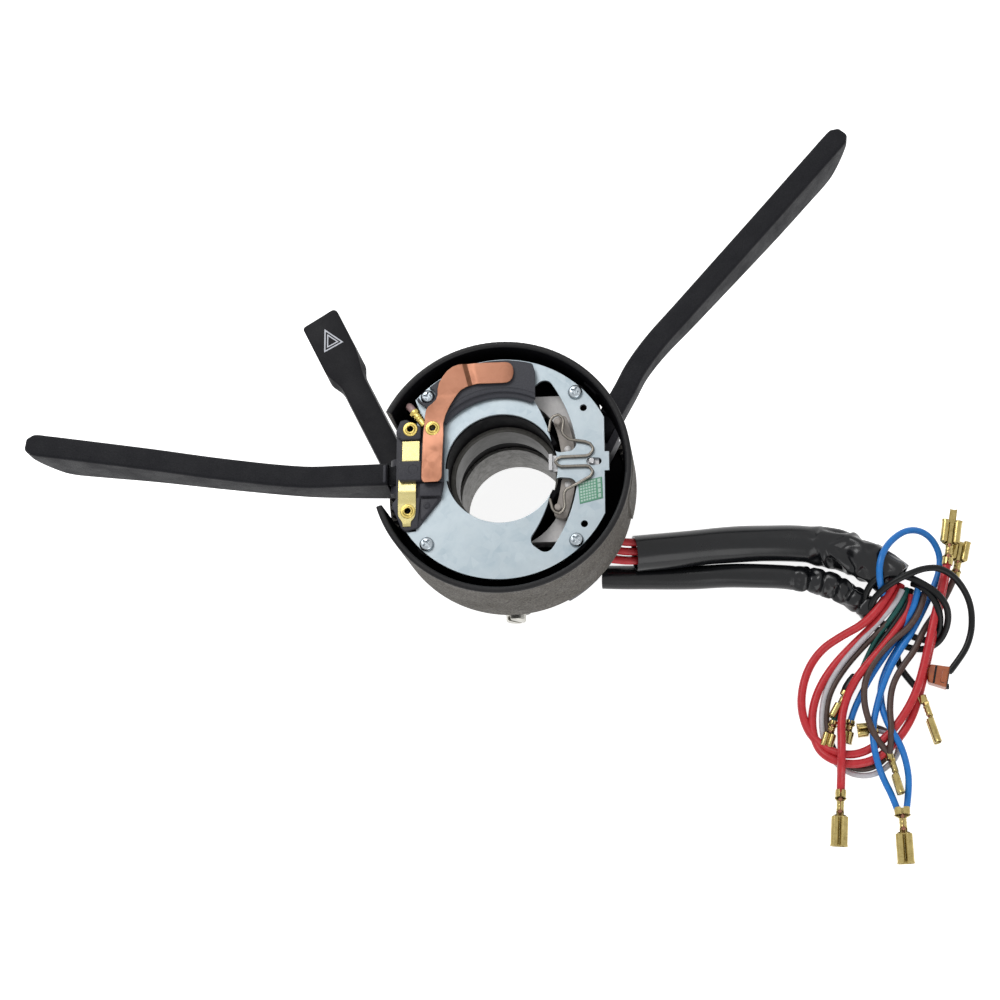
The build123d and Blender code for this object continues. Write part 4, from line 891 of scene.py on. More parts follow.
add_piece(wiper_mesh, "wiper_lever", "stalk_black", "wiper_arm", ("wiper_stalk",), sharp=50)

# %% A small rib at the turn lever's root
def block(outline, bottom, top, round_top=0.3):
    """An upright block on an outline in millimetres, with a rounded top edge."""
    outline = [Vector(p) for p in outline]
    count = len(outline)
    area = sum(outline[i - 1].cross(outline[i]) for i in range(count))
    turn = 1 if area > 0 else -1

    def inset(amount):
        out = []
        for i, p in enumerate(outline):
            along = outline[(i + 1) % count] - outline[i - 1]
            along.normalize()
            out.append(p + Vector((-along.y, along.x)) * (amount * turn))
        return out

    levels = [(bottom, 0.0)]
    for k in range(5):
        a = math.pi / 2 * k / 4
        levels.append((top - round_top * (1 - math.sin(a)), round_top * (1 - math.cos(a))))
    return rows_to_mesh([[Vector((p.x, p.y, z)) * MM for p in inset(amount)] for z, amount in levels])


rib = block(
    rounded_outline([(-45.0, -2.5), (-43.6, -2.5), (-43.6, 4.3), (-45.0, 4.3)], [0.6] * 4), 56.0, 57.6, 0.5,
)
add_piece(rib, "turn_lever_rib", "contact_black", "indicator_stalk")

# %% [markdown]
# ## The hazard lever
# A flat moulding with a short, wide paddle. Its top face is a little narrower than its underside, so
# the sides slope, and at the neck they open into two shallow scoops. It is lofted between two
# outlines, a lower and an upper one, with a small rounding round the top. The mark on the paddle is
# the plain double triangle that every hazard switch has, as thin raised strips.

# %% Hazard lever
HAZARD_SPOT = Vector((-36.7, -2.7))
HAZARD_WAY = math.radians(116.6)


def hazard_point(u, v, z):
    """A point given along and across the lever."""
    c, s = math.cos(HAZARD_WAY), math.sin(HAZARD_WAY)
    return Vector((HAZARD_SPOT.x + u * c - v * s, HAZARD_SPOT.y + u * s + v * c, z))


def eased(u, start, end, low, high):
    """Goes smoothly from low to high between start and end."""
    t = min(1.0, max(0.0, (u - start) / (end - start)))
    return low + (high - low) * t * t * (3 - 2 * t)


def hazard_outline(left, right, inset):
    """The lever's outline; left and right are (start, end, stem, paddle) of the neck on each side."""
    out = []
    for k in range(28):
        a = math.radians(-90 - 180 * k / 27)
        out.append(((left[2] - inset) * math.cos(a), (left[2] - inset) * math.sin(a)))
    steps, side_end = 60, 81.6
    for k in range(1, steps):
        u = side_end * k / steps
        out.append((u, eased(u, *left) - inset))
    tip = rounded_outline(
        [
            (80.5, left[3] - inset), (83.1 - inset, left[3] - inset), (84.4 - inset, -right[3] + inset),
            (80.5, -right[3] + inset),
        ],
        [0.01, 1.7, 1.7, 0.01], 8,
    )
    out += [tuple(p) for p in tip[9:27]]
    for k in range(steps - 1, 0, -1):
        u = side_end * k / steps
        out.append((u, -(eased(u, *right) - inset)))
    return out


HAZARD_LEVELS = [  # (height, inset, share of the upper outline)
    (32.0, 0.4, 0.0), (32.4, 0.0, 0.0), (33.2, 0.0, 0.15), (34.4, 0.0, 0.6), (35.3, 0.0, 1.0),
    (35.6, 0.08, 1.0), (35.85, 0.28, 1.0), (35.98, 0.6, 1.0),
]
levels = []
for z, inset, share in HAZARD_LEVELS:
    low = hazard_outline((50.5, 58.0, 5.3, 7.95), (52.5, 58.5, 5.3, 7.25), inset)
    high = hazard_outline((52.0, 62.5, 5.0, 7.95), (51.5, 67.5, 4.8, 7.1), inset)
    ring = [(p[0] + (q[0] - p[0]) * share, p[1] + (q[1] - p[1]) * share) for p, q in zip(low, high)]
    levels.append([hazard_point(u, v, z) * MM for u, v in ring])
lever_mesh = bored(rows_to_mesh(levels), round_cutter(HAZARD_SPOT.x, HAZARD_SPOT.y, 30, 38, 2.06, 48))
add_piece(lever_mesh, "hazard_paddle", "hazard_black", "hazard", ("hazard_lever",), sharp=40)

# %% Hazard mark
def line_loop(corners, width, bottom, top):
    """A closed thin strip along a triangle's sides."""
    outer = [Vector(c) for c in corners]
    bounds = []
    for grow in (0.5, -0.5):
        ring = []
        for i, corner in enumerate(outer):
            a, b = (outer[i - 1] - corner).normalized(), (outer[(i + 1) % 3] - corner).normalized()
            ring.append(corner - (a + b).normalized() * (grow * width / math.sin(a.angle(b) / 2)))
        bounds.append(ring)
    rows = []
    for ring, z in (
        (bounds[0], bottom), (bounds[0], top), (bounds[1], top), (bounds[1], bottom), (bounds[0], bottom),
    ):
        rows.append([Vector((p.x, p.y, z)) * MM for p in ring])
    return rows_to_mesh(rows, cap_start=False, cap_end=False)


mark = merged(
    line_loop([(-71.9, 66.6), (-65.1, 61.6), (-71.85, 57.9)], 0.55, 35.9, 36.06),
    line_loop([(-70.8, 64.6), (-66.9, 61.75), (-70.8, 59.7)], 0.5, 35.9, 36.06),
)
add_piece(mark, "hazard_mark", "mark_white", "hazard")

# %% [markdown]
# ## Screws from one Geometry Nodes tree
# Seven small pan-head screws hold the part together, all alike, so they are one node tree. A grid is
# bent into a head and another into a threaded shank by formulas: one side of the grid runs round the
# screw and the other runs along it. A cross is cut from the head, the screw is set on every point of
# the input mesh with its own turn, and the sizes are named inputs, so another screw needs no new tree.

# %% A tree with named sizes
def growing_tree(name, takes, sizes, gives):
    """A Geometry Nodes tree that takes points or lines and named sizes (name, kind, value)."""
    tree = bpy.data.node_groups.new(name, "GeometryNodeTree")
    tree.interface.new_socket(name=takes, in_out="INPUT", socket_type="NodeSocketGeometry")
    for label, kind, value in sizes:
        socket = tree.interface.new_socket(name=label, in_out="INPUT", socket_type="NodeSocket" + kind)
        if value is not None:
            socket.default_value = value
    tree.interface.new_socket(name=gives, in_out="OUTPUT", socket_type="NodeSocketGeometry")
    return tree, node(tree, "NodeGroupInput").outputs


def finish_tree(tree, geometry):
    """Ends a tree with real geometry in its material."""
    real = node(tree, "GeometryNodeRealizeInstances", {"Geometry": geometry}).outputs[0]
    values = {"Geometry": real, "Material": tree.nodes["Group Input"].outputs["Material"]}
    node(tree, "NodeGroupOutput", {0: node(tree, "GeometryNodeSetMaterial", values).outputs[0]})

# %% Node tree for a cross-head screw
SCREW_SIZES = [
    ("Head radius", "Float", 0.0027), ("Head height", "Float", 0.0019), ("Shank radius", "Float", 0.00135),
    ("Shank length", "Float", 0.006), ("Thread depth", "Float", 0.00022), ("Thread pitch", "Float", 0.0009),
    ("Cross width", "Float", 0.0031), ("Cross depth", "Float", 0.0011), ("Flip", "Float", 0.0),
    ("Seed", "Int", 3), ("Material", "Material", None),
]
screw_tree, given = growing_tree("cross_head_screws", "Places", SCREW_SIZES, "Screws")


def bent_grid(tree, along, around):
    """A unit grid with its two shares: one along the screw, one round it in radians."""
    sizes = {"Size X": 1.0, "Size Y": 1.0, "Vertices X": along, "Vertices Y": around}
    grid = node(tree, "GeometryNodeMeshGrid", sizes)
    spot = node(tree, "ShaderNodeSeparateXYZ", {0: node(tree, "GeometryNodeInputPosition").outputs[0]})
    share = calc(tree, "ADD", spot.outputs["X"], 0.5)
    angle = calc(tree, "MULTIPLY", calc(tree, "ADD", spot.outputs["Y"], 0.5), 2 * math.pi)
    return grid.outputs["Mesh"], share, angle


def placed_round(tree, mesh, radius, angle, height):
    """Moves the grid's points to radius, angle and height, and welds its seam and ends."""
    where = node(tree, "ShaderNodeCombineXYZ", {
        0: calc(tree, "MULTIPLY", radius, calc(tree, "COSINE", angle)),
        1: calc(tree, "MULTIPLY", radius, calc(tree, "SINE", angle)), 2: height,
    })
    moved = node(tree, "GeometryNodeSetPosition", {"Geometry": mesh, "Position": where.outputs[0]})
    return node(
        tree, "GeometryNodeMergeByDistance", {"Geometry": moved.outputs[0], "Distance": 2e-6},
    ).outputs[0]


def rounded_off(kind, angle, power):
    """A sine or cosine raised to a power, which sets how full a curve is."""
    return calc(screw_tree, "POWER", calc(screw_tree, "MAXIMUM", calc(screw_tree, kind, angle), 0.0), power)


# The head: a flat underside, then a rounded edge that closes over the top.
mesh, share, angle = bent_grid(screw_tree, 34, 41)
climb = remap(screw_tree, share, 0.2, 1.0, 0.0, math.pi / 2)
flat_radius = calc(screw_tree, "MULTIPLY", remap(screw_tree, share, 0.0, 0.2), given["Head radius"])
radius = calc(screw_tree, "MULTIPLY", flat_radius, rounded_off("COSINE", climb, 0.55))
height = calc(screw_tree, "MULTIPLY", given["Head height"], rounded_off("SINE", climb, 0.75))
head = placed_round(screw_tree, mesh, radius, angle, height)

# The cross: two bars and a round middle, sunk into the head from above.
bar_width = calc(screw_tree, "MULTIPLY", given["Cross width"], 0.25)
middle_radius = calc(screw_tree, "MULTIPLY", given["Cross width"], 0.26)
tall = calc(screw_tree, "MULTIPLY", given["Cross depth"], 2.0)
size = node(screw_tree, "ShaderNodeCombineXYZ", {0: given["Cross width"], 1: bar_width, 2: tall})
bar = node(screw_tree, "GeometryNodeMeshCube", {"Size": size.outputs[0]}).outputs["Mesh"]
round_sizes = {"Vertices": 20, "Radius": middle_radius, "Depth": tall}
middle = node(screw_tree, "GeometryNodeMeshCylinder", round_sizes).outputs["Mesh"]
lift = node(screw_tree, "ShaderNodeCombineXYZ", {2: given["Head height"]}).outputs[0]
cut = node(screw_tree, "GeometryNodeMeshBoolean", {"Mesh 1": head}, operation="DIFFERENCE", solver="EXACT")
for cutter, turn in ((bar, 0.0), (bar, math.pi / 2), (middle, 0.0)):
    values = {"Geometry": cutter, "Translation": lift, "Rotation": (0, 0, turn)}
    screw_tree.links.new(node(screw_tree, "GeometryNodeTransform", values).outputs[0], cut.inputs["Mesh 2"])

# The shank: a cylinder whose radius follows a helix, drawn in at both ends.
mesh, share, angle = bent_grid(screw_tree, 72, 25)
drop = calc(screw_tree, "MULTIPLY", share, given["Shank length"])
pitches = calc(screw_tree, "DIVIDE", drop, given["Thread pitch"])
turned_by = calc(screw_tree, "DIVIDE", angle, 2 * math.pi)
helix = calc(screw_tree, "FRACT", calc(screw_tree, "SUBTRACT", pitches, turned_by))
ridge = calc(screw_tree, "MULTIPLY", calc(screw_tree, "PINGPONG", helix, 0.5), given["Thread depth"])
ends = calc(screw_tree, "MULTIPLY", remap(screw_tree, share, 0.0, 0.01), remap(screw_tree, share, 1.0, 0.99))
radius = calc(screw_tree, "MULTIPLY", ends, calc(screw_tree, "SUBTRACT", given["Shank radius"], ridge))
shank = placed_round(screw_tree, mesh, radius, angle, calc(screw_tree, "MULTIPLY", drop, -1.0))
whole = node(screw_tree, "GeometryNodeJoinGeometry")
screw_tree.links.new(cut.outputs["Mesh"], whole.inputs[0])
screw_tree.links.new(shank, whole.inputs[0])

# One screw on every point, each with its own turn.
limits = {2: 0.2, 3: 1.4, "Seed": given["Seed"]}
turn = node(screw_tree, "FunctionNodeRandomValue", limits, data_type="FLOAT")
facing = node(screw_tree, "ShaderNodeCombineXYZ", {0: given["Flip"], 2: turn.outputs[1]})
points = node(screw_tree, "GeometryNodeMeshToPoints", {"Mesh": given["Places"]})
values = {"Points": points.outputs[0], "Instance": whole.outputs[0], "Rotation": facing.outputs[0]}
finish_tree(screw_tree, node(screw_tree, "GeometryNodeInstanceOnPoints", values).outputs[0])
print("screw tree:", len(screw_tree.nodes), "nodes")

# %% Run a tree on some points or lines
def grown(tree, name, points, edges, **values):
    """The plain mesh that a tree makes from points in millimetres; values are its named inputs."""
    seed_mesh = bpy.data.meshes.new(name)
    seed_mesh.from_pydata([Vector(p) * MM for p in points], edges, [])
    holder = add_object(name, seed_mesh)
    modifier = holder.modifiers.new("grown", "NODES")
    modifier.node_group = tree
    for item in tree.interface.items_tree:
        label = item.name.replace(" ", "_")
        if item.item_type == "SOCKET" and item.in_out == "INPUT" and label in values:
            modifier[item.identifier] = values[label]
    mesh = final_mesh(holder)
    bpy.data.objects.remove(holder)
    bpy.data.meshes.remove(seed_mesh)
    return mesh

# %% Plate screws and collar screws
PLATE_TOP = 62.62
steel = finishes["screw_steel"]
POSTS = [(x, y, PLATE_TOP) for x in (-27.5, 27.5) for y in (-28.4, 28.4)]
screws = grown(screw_tree, "plate_fixings", POSTS, [], Seed=5, Material=steel)
add_piece(screws, "plate_fixings", None, "housing", ("plate_screws",))
COLLAR_RING, COLLAR_UNDERSIDE = 27.8, 19.58
RING = [
    (COLLAR_RING * math.cos(math.radians(a)), COLLAR_RING * math.sin(math.radians(a)), COLLAR_UNDERSIDE)
    for a in (90, 210, 330)
]
screws = grown(
    screw_tree, "collar_fixings", RING, [], Flip=math.pi, Shank_length=0.0052, Seed=11, Material=steel,
)
add_piece(screws, "collar_fixings", None, "housing", ("collar_screws",))

# %% [markdown]
# ## The cancelling spring
# One length of hard wire, bent in a plane: hooked round a pin on each pawl and folded round the pin
# of the finger between them. Round wire that follows a path is a job for Geometry Nodes: the corner
# points become a curve, Fillet Curve blunts every corner, and a circle is swept along it. The wire is
# made in four lengths, cut where it runs straight.

# %% Node tree for bent wire
WIRE_SIZES = [
    ("Wire radius", "Float", 0.00055), ("Bend radius", "Float", 0.0016), ("Round steps", "Int", 14),
    ("Material", "Material", None),
]
wire_tree, given = growing_tree("bent_round_wire", "Corners", WIRE_SIZES, "Wire")
path = node(wire_tree, "GeometryNodeMeshToCurve", {"Mesh": given["Corners"]}).outputs[0]
bends = {"Curve": path, "Radius": given["Bend radius"], "Limit Radius": True, "Count": 1}
soft = node(wire_tree, "GeometryNodeFilletCurve", bends, mode="POLY").outputs[0]
sizes = {"Resolution": given["Round steps"], "Radius": given["Wire radius"]}
ring = node(wire_tree, "GeometryNodeCurvePrimitiveCircle", sizes).outputs["Curve"]
values = {"Curve": soft, "Profile Curve": ring, "Fill Caps": True}
finish_tree(wire_tree, node(wire_tree, "GeometryNodeCurveToMesh", values).outputs[0])
print("wire tree:", len(wire_tree.nodes), "nodes")

# %% The spring's four lengths
WIRE_Z = 63.45
UPPER_WIRE = [
    (22.75, 14.0), (22.5, 12.4), (25.2, 9.9), (30.9, 8.9), (34.0, 7.6), (33.7, 4.1), (31.2, 3.4), (21.4, 3.3),
    (19.9, 1.5),
]
LOWER_WIRE = [
    (19.9, 1.5), (21.4, -0.4), (31.2, -0.4), (33.8, -1.1), (33.6, -4.1), (29.1, -6.6), (23.3, -9.6),
    (23.2, -13.0),
]
UPPER_HOOK = [(17.7, 13.2), (18.3, 17.6), (20.0, 19.8), (22.3, 19.3), (23.2, 17.0), (22.75, 14.0)]
LOWER_HOOK = [(23.2, -13.0), (23.5, -16.0), (22.3, -18.2), (20.3, -18.4), (18.9, -16.6), (17.9, -12.7)]
for name, corners, shown, bodies, start, end in [
    ("spring_upper", UPPER_WIRE, ("cancel_spring",), ("housing", "turn_switch"), (22.0, 3.6), (22.0, 13.8)),
    ("spring_lower", LOWER_WIRE, (), ("housing", "turn_switch"), (22.0, -2.6), (22.0, -12.8)),
    ("spring_hook_upper", UPPER_HOOK, (), ("turn_switch", "upper_pawl"), (22.75, 14.0), (21.3, 15.3)),
    ("spring_hook_lower", LOWER_HOOK, (), ("turn_switch", "lower_pawl"), (23.2, -13.0), (21.75, -14.3)),
]:
    points = [(x, y, WIRE_Z) for x, y in corners]
    edges = [(i, i + 1) for i in range(len(points) - 1)]
    mesh = grown(wire_tree, name, points, edges, Material=finishes["spring_wire"])
    mesh.name = name
    mesh.shade_smooth()
    piece = add_object(name, mesh)
    if shown:
        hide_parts(*shown)
    Vector((*start, WIRE_Z)) * MM
    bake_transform(piece)
    print(name, len(mesh.polygons), "faces")

# %% [markdown]
# ## The arc block
# A black moulding that follows the drum's wall and insulates the horn contact. Its section is the
# same all the way round, a body with a lower lip on its inner side, so its rows are sections at
# steps of angle. A round pocket for the screw head is cut from it at the end.

# %% Arc block
ARC_SECTION = [
    (27.0, 62.62), (27.0, 64.2), (27.1, 64.42), (27.3, 64.5), (28.5, 64.5), (28.62, 64.55), (28.7, 65.3),
    (28.85, 65.52), (29.1, 65.6), (29.9, 65.6), (30.0, 65.45), (30.35, 65.45), (30.45, 65.6), (34.0, 65.6),
    (38.0, 65.6), (40.7, 65.6), (41.0, 65.5), (41.15, 65.2), (41.2, 64.9), (41.2, 62.62),
]
INNER, OUTER = 27.0, 41.2  # the section's two radii
STRAIGHT_END, CORNER = 12.9, 2.2  # where the block's right end stands, and how round its corners are
END_ANGLE, ARC_STEPS = 139.5, 72
rows = []
for k in range(ARC_STEPS + 1):
    row = []
    for r, z in ARC_SECTION:
        into_corner = CORNER - min(r - INNER, OUTER - r, CORNER)
        limit = STRAIGHT_END - (CORNER - math.sqrt(max(0.0, CORNER ** 2 - into_corner ** 2)))
        start = math.degrees(math.acos(limit / r))
        a = math.radians(start + (END_ANGLE - start) * k / ARC_STEPS)
        row.append(Vector((r * math.cos(a), r * math.sin(a), z)) * MM)
    rows.append(row)
arc_mesh = bored(rows_to_mesh(rows), round_cutter(-27.5, 28.4, 62, 67, 3.15))
add_piece(arc_mesh, "arc_insulator", "arc_black", "housing", ("arc_block",), sharp=35)

# %% [markdown]
# ## The swinging cradle
# Only the middle of the turn switch's cradle shows through the two curved slots. Its corners are cut
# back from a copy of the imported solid, welded first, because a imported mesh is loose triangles.

# %% Cradle
def copy_of(node_name):
    """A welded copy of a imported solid's mesh."""
    made = bmesh.new()
    made.from_mesh(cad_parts[node_name].data)
    bmesh.ops.remove_doubles(made, verts=made.verts, dist=1e-6)
    mesh = bpy.data.meshes.new(node_name + "_copy")
    made.to_mesh(mesh)
    made.free()
    return mesh


def slab(y0, y1):
    """A block in millimetres that takes off everything between two places across the cradle."""
    corners = ((4, y0), (40, y0), (40, y1), (4, y1))
    return rows_to_mesh([[Vector((x, y, z)) * MM for x, y in corners] for z in (40, 70)])


cradle = bored(copy_of("turn_carrier"), slab(29.4, 60), slab(-60, -27.0))
add_piece(
    cradle, "turn_cradle", ["switch_nylon", "contact_black"], "turn_switch",
    ("turn_carrier",), sharp=30,
)
CRADLE_ARM = -0.029  # left of this the moulding is black
for face in cradle.polygons:
    face.material_index = 1 if face.center.x < CRADLE_ARM else 0

# %% [markdown]
# ## The flag connector
# A flat amber housing over a terminal that is turned to one side. It is a stack of low blocks with
# rounded edges, and two short spigots. One face and a shallow trough are dark, which a second
# material gives.

# %% The flag connector
CASE = [(156.2, -64.8), (163.7, -66.0), (161.9, -74.0), (154.9, -71.6), (155.0, -66.6)]
CASE_RIB = [(158.0, -65.4), (158.7, -65.5), (157.3, -72.4), (156.6, -72.2)]
CASE_LIP = [(160.6, -67.2), (162.4, -67.5), (161.2, -72.4), (159.5, -71.9)]
CASE_TOP = 5.0
case = block(rounded_outline(CASE, [1.0, 0.5, 0.5, 1.4, 1.2], 5), 0.05, CASE_TOP, 0.6)
rib = block(rounded_outline(CASE_RIB, [0.2] * 4, 3), 4.9, 5.25, 0.12)
lip = block(rounded_outline(CASE_LIP, [0.4] * 4, 4), 4.9, 5.3, 0.15)
nubs = []
for x, y in ((162.9, -67.2), (161.5, -73.0)):
    spots = [(x, y, 2.6), (x + 0.3, y - 0.05, 2.6), (x + 1.1, y - 0.2, 2.6), (x + 1.3, y - 0.2, 2.6)]
    nubs.append(tube(spots, [1.0, 1.1, 1.1, 0.9]))
connector = merged(case, lip, rib, *nubs)
two_finishes = ["connector_amber", "wire_black"]
add_piece(connector, "amber_flag", two_finishes, "housing", ("flag_connector",), sharp=40)
for face in connector.polygons:
    x, y, z = face.center / MM
    trough = z > CASE_TOP + 0.02 and x + 0.2 * (y + 65.0) < 159.0
    open_end = x - 0.22 * (y + 66.0) > 163.3
    face.material_index = 1 if trough or open_end else 0

# %% [markdown]
# ## The wall behind the wiper lever
# The drum's side window is a little wider than the lever needs. A thin curved wall closes the slit
# beside the lever, so that no light comes through it. Its section stays the same along the arc.

# %% The wall behind the wiper lever
WALL_SECTION = [(44.7, 34.0), (45.6, 34.0), (45.6, 60.0), (44.7, 60.0)]
WALL_START, WALL_SPAN, WALL_STEPS = 39.0, 8.0, 12
rows = []
for k in range(WALL_STEPS + 1):
    a = math.radians(WALL_START + WALL_SPAN * k / WALL_STEPS)
    rows.append([Vector((r * math.cos(a), r * math.sin(a), z)) * MM for r, z in WALL_SECTION])
# Painted shade: the wall is near-black, for the shade in the slit.
add_piece(rows_to_mesh(rows), "wall_lip", "housing_inside", "housing")

# %% [markdown]
# ## The contact strips
# The horn contact and the brass leaf are pressed from sheet, so each is a strip between a left and a
# right edge, with the same number of points on both. The height of each edge is given too, which
# makes the folds: a strip that changes its slope at a fold catches the light there. Fine steps along
# the strip keep the folds crisp, and a small chamfer on both edges gives the bright line of a cut edge.

# %% A strip between two edges
def strip(pairs, thick, step=0.6, edge=0.09):
    """Rows of a pressed strip from (left x, left y, left z, right x, right y, right z), in millimetres."""
    rows = []
    for a, b in zip(pairs, pairs[1:]):
        count = max(1, round(max(math.dist(a[:3], b[:3]), math.dist(a[3:], b[3:])) / step))
        for k in range(count):
            rows.append([p + (q - p) * k / count for p, q in zip(a, b)])
    rows.append(list(pairs[-1]))
    out = []
    for row in rows:
        left, right = Vector(row[:3]), Vector(row[3:])
        across = (right - left).normalized()
        down = Vector((0, 0, -1))
        inner = min(edge, 0.3 * (right - left).length)
        line = [left + down * thick, left + down * inner, left + across * inner]
        line += [left.lerp(right, share) for share in (0.2, 0.4, 0.6, 0.8)]
        line += [right - across * inner, right + down * inner, right + down * thick]
        out.append([p * MM for p in line])
    return rows_to_mesh(out)


HORN_TOP = 66.6


def tail(x, y):
    """The tail of the horn strip leans a few degrees: its right edge and its far end stand higher."""
    return HORN_TOP + 0.05 * (x + 28.5) + 0.045 * max(0.0, 17.0 - y)


HORN = [
    (-28.0, -6.05, 0, -22.9, -6.0, 0), (-28.6, -5.6, 0, -22.2, -5.5, 0), (-28.95, -4.9, 0, -21.7, -4.8, 0),
    (-29.1, -3.8, 0, -21.4, -3.7, 0), (-29.0, 1.1, 0, -21.4, 0.8, 0), (-28.7, 12.6, 0, -21.0, 12.4, 0),
    (-28.3, 16.2, 0, -21.05, 14.7, 0), (-28.1, 19.6, 0, -21.1, 16.5, 0),
]
HORN = [(a, b, tail(a, b), c, d, tail(c, d)) for a, b, _, c, d, _ in HORN]
HORN += [
    (-27.7, 22.0, 66.75, -20.3, 19.8, 67.0), (-26.9, 23.4, 66.85, -19.1, 22.6, 66.95),
    (-25.2, 24.7, 66.9, -17.9, 24.8, 66.9), (-23.9, 26.1, 66.9, -16.9, 26.5, 66.85),
    (-23.4, 27.8, 66.8, -15.9, 28.0, 66.8), (-23.4, 30.2, 66.8, -14.8, 29.3, 66.8),
    (-22.9, 32.5, 66.8, -13.9, 29.9, 66.8), (-21.5, 35.1, 66.8, -13.3, 30.25, 66.8),
    (-19.7, 37.4, 66.8, -12.8, 30.5, 66.8), (-17.8, 38.8, 66.8, -12.5, 30.65, 66.8),
    (-15.9, 39.5, 66.8, -12.3, 30.7, 66.8), (-14.2, 39.7, 66.8, -12.0, 30.8, 66.8),
    (-12.5, 39.7, 66.5, -10.3, 31.35, 66.55), (-10.4, 39.75, 66.82, -8.6, 31.6, 66.96),
    (-9.9, 39.8, 66.86, -8.1, 31.6, 67.0), (-5.8, 39.85, 66.95, -4.3, 31.6, 67.0),
    (1.9, 39.8, 67.0, 1.0, 31.6, 67.0), (3.1, 39.55, 66.97, 2.5, 31.75, 66.98),
    (4.0, 39.0, 66.93, 3.6, 32.3, 66.94), (4.65, 38.0, 66.88, 4.5, 33.4, 66.88),
    (4.95, 36.6, 66.82, 4.95, 35.2, 66.82),
]
HORN_SEAT, LEAF_SEAT, REAR_SEAT = (-25.1, 14.9), (-34.4, -16.1), (-33.6, 15.2)  # the eyelets' axes
horn_mesh = bored(strip(HORN, 0.5), round_cutter(*HORN_SEAT, 60, 70, 1.7))
add_piece(
    horn_mesh, "horn_contact", ["copper", "copper_dull"], "housing", ("horn_strip",), sharp=24,
)
# Painted shade: the upward faces in a narrow slanted band across the strip, where it dips at the step, take
# the darker copper for the shade in that crease.
for face in horn_mesh.polygons:
    x, y = face.center.x / MM, face.center.y / MM
    share = (y - 31.0) / 8.7
    start, middle = -12.0 - 2.2 * share, -10.3 - 2.2 * share
    face.material_index = 1 if start < x < middle and y > 29.5 and face.normal.z > 0.3 else 0

LEAF = [
    (-36.7, 11.0, 64.42, -30.2, 11.0, 64.42), (-36.7, 3.0, 64.7, -30.2, 3.0, 64.75),
    (-37.0, 2.0, 64.5, -30.5, 2.0, 64.5), (-38.0, -4.6, 64.5, -31.4, -4.6, 64.5),
    (-38.05, -8.5, 64.78, -31.4, -8.8, 64.88), (-38.1, -9.5, 64.7, -31.4, -9.8, 64.75),
    (-38.1, -13.0, 64.5, -31.4, -13.0, 64.5), (-38.1, -17.0, 64.5, -31.5, -16.4, 64.5),
    (-37.8, -18.2, 64.5, -31.75, -18.0, 64.5), (-36.9, -19.5, 64.5, -32.3, -19.0, 64.5),
    (-36.4, -20.4, 64.5, -33.1, -19.9, 64.5), (-36.3, -21.2, 64.5, -33.3, -21.0, 64.5),
    (-36.3, -21.8, 64.3, -33.3, -21.7, 64.3), (-36.3, -22.6, 63.2, -33.3, -22.6, 63.2),
    (-36.3, -23.0, 62.3, -33.3, -23.0, 62.3),
]
leaf_mesh = bored(strip(LEAF, 0.45), round_cutter(*LEAF_SEAT, 60, 70, 1.7))
add_piece(leaf_mesh, "brass_spring_leaf", "leaf_brass", "housing", ("brass_leaf",), sharp=18)

# %% [markdown]
# ## Eyelets
# Each eyelet is a turned shape: a thin tube whose top is rolled over into a brim with a raised inner
# ring. One profile is turned round its axis at the three seats.

# %% Eyelets
def turned(profile, x, y, z, count=40):
    """A shape turned round an upright axis; the profile is closed (radius, height) in millimetres."""
    rows = []
    for r, h in profile + profile[:1]:
        rows.append([Vector((x + a, y + b, z + h)) * MM for a, b in circle(r, count)])
    return welded(rows_to_mesh(rows, cap_start=False, cap_end=False))


BRIM = [
    (1.1, -2.2), (1.1, 0.35), (1.14, 0.6), (1.26, 0.78), (1.45, 0.84), (1.65, 0.78), (1.8, 0.6), (1.9, 0.38),
    (2.1, 0.3), (2.35, 0.36), (2.55, 0.34), (2.7, 0.22), (2.75, 0.08), (2.72, 0.0), (1.6, 0.0), (1.6, -2.2),
]
EYELETS = ((*REAR_SEAT, 65.6), (*HORN_SEAT, 66.85), (*LEAF_SEAT, 64.5))
eyelet_mesh = merged(*[turned(BRIM, x, y, z) for x, y, z in EYELETS])
add_piece(eyelet_mesh, "rolled_eyelets", "brass", "housing", ("eyelets",), sharp=40)

# %% [markdown]
# ## The contact block and its bridge
# The moulding that carries the strips is a stack of low blocks on one base. Each block's top edge is
# rounded, because a moulded edge is never quite sharp. Thin raised rings are the marks of its mould.

# %% Contact block
def ring_mark(x, y, z, radius, width=0.28, height=0.14):
    """A thin raised ring."""
    foot, brow = width / 2, width / 3
    section = [(radius - foot, 0), (radius - brow, height), (radius + brow, height), (radius + foot, 0)]
    return turned(section, x, y, z, 32)


def polygon(*corners, radius=0.5):
    """An outline whose corners all have the same radius."""
    return rounded_outline(corners, [radius] * len(corners), 5)


BASE = polygon(
    (-30.8, -22.3), (-22.4, -11.8), (-21.2, -5.4), (-21.2, 16.3), (-29.4, 16.3), (-35.2, 19.3), (-37.4, 18.9),
    (-39.0, 14.5), (-39.0, -10.8), (-40.4, -12.7), (-40.4, -14.2), (-37.0, -22.2), (-35.5, -23.6),
)
FOOT = polygon(
    (-31.4, -22.4), (-31.4, 17.0), (-35.2, 19.3), (-37.4, 18.9), (-39.0, 14.5), (-39.0, -10.8),
    (-40.4, -12.7),
    (-40.4, -14.2), (-37.0, -22.2), (-35.5, -22.4), radius=0.3,
)
UPPER = polygon(
    (-29.6, 11.3), (-29.6, 16.0), (-35.2, 19.1), (-37.3, 18.7), (-38.9, 14.6), (-38.9, 13.0), (-36.8, 11.3),
    radius=0.8,
)
LOWER = polygon(
    (-29.9, -10.8), (-30.8, -22.3), (-35.5, -23.5), (-36.9, -22.1), (-40.3, -14.2), (-40.3, -12.7),
    (-38.3, -10.8),
)
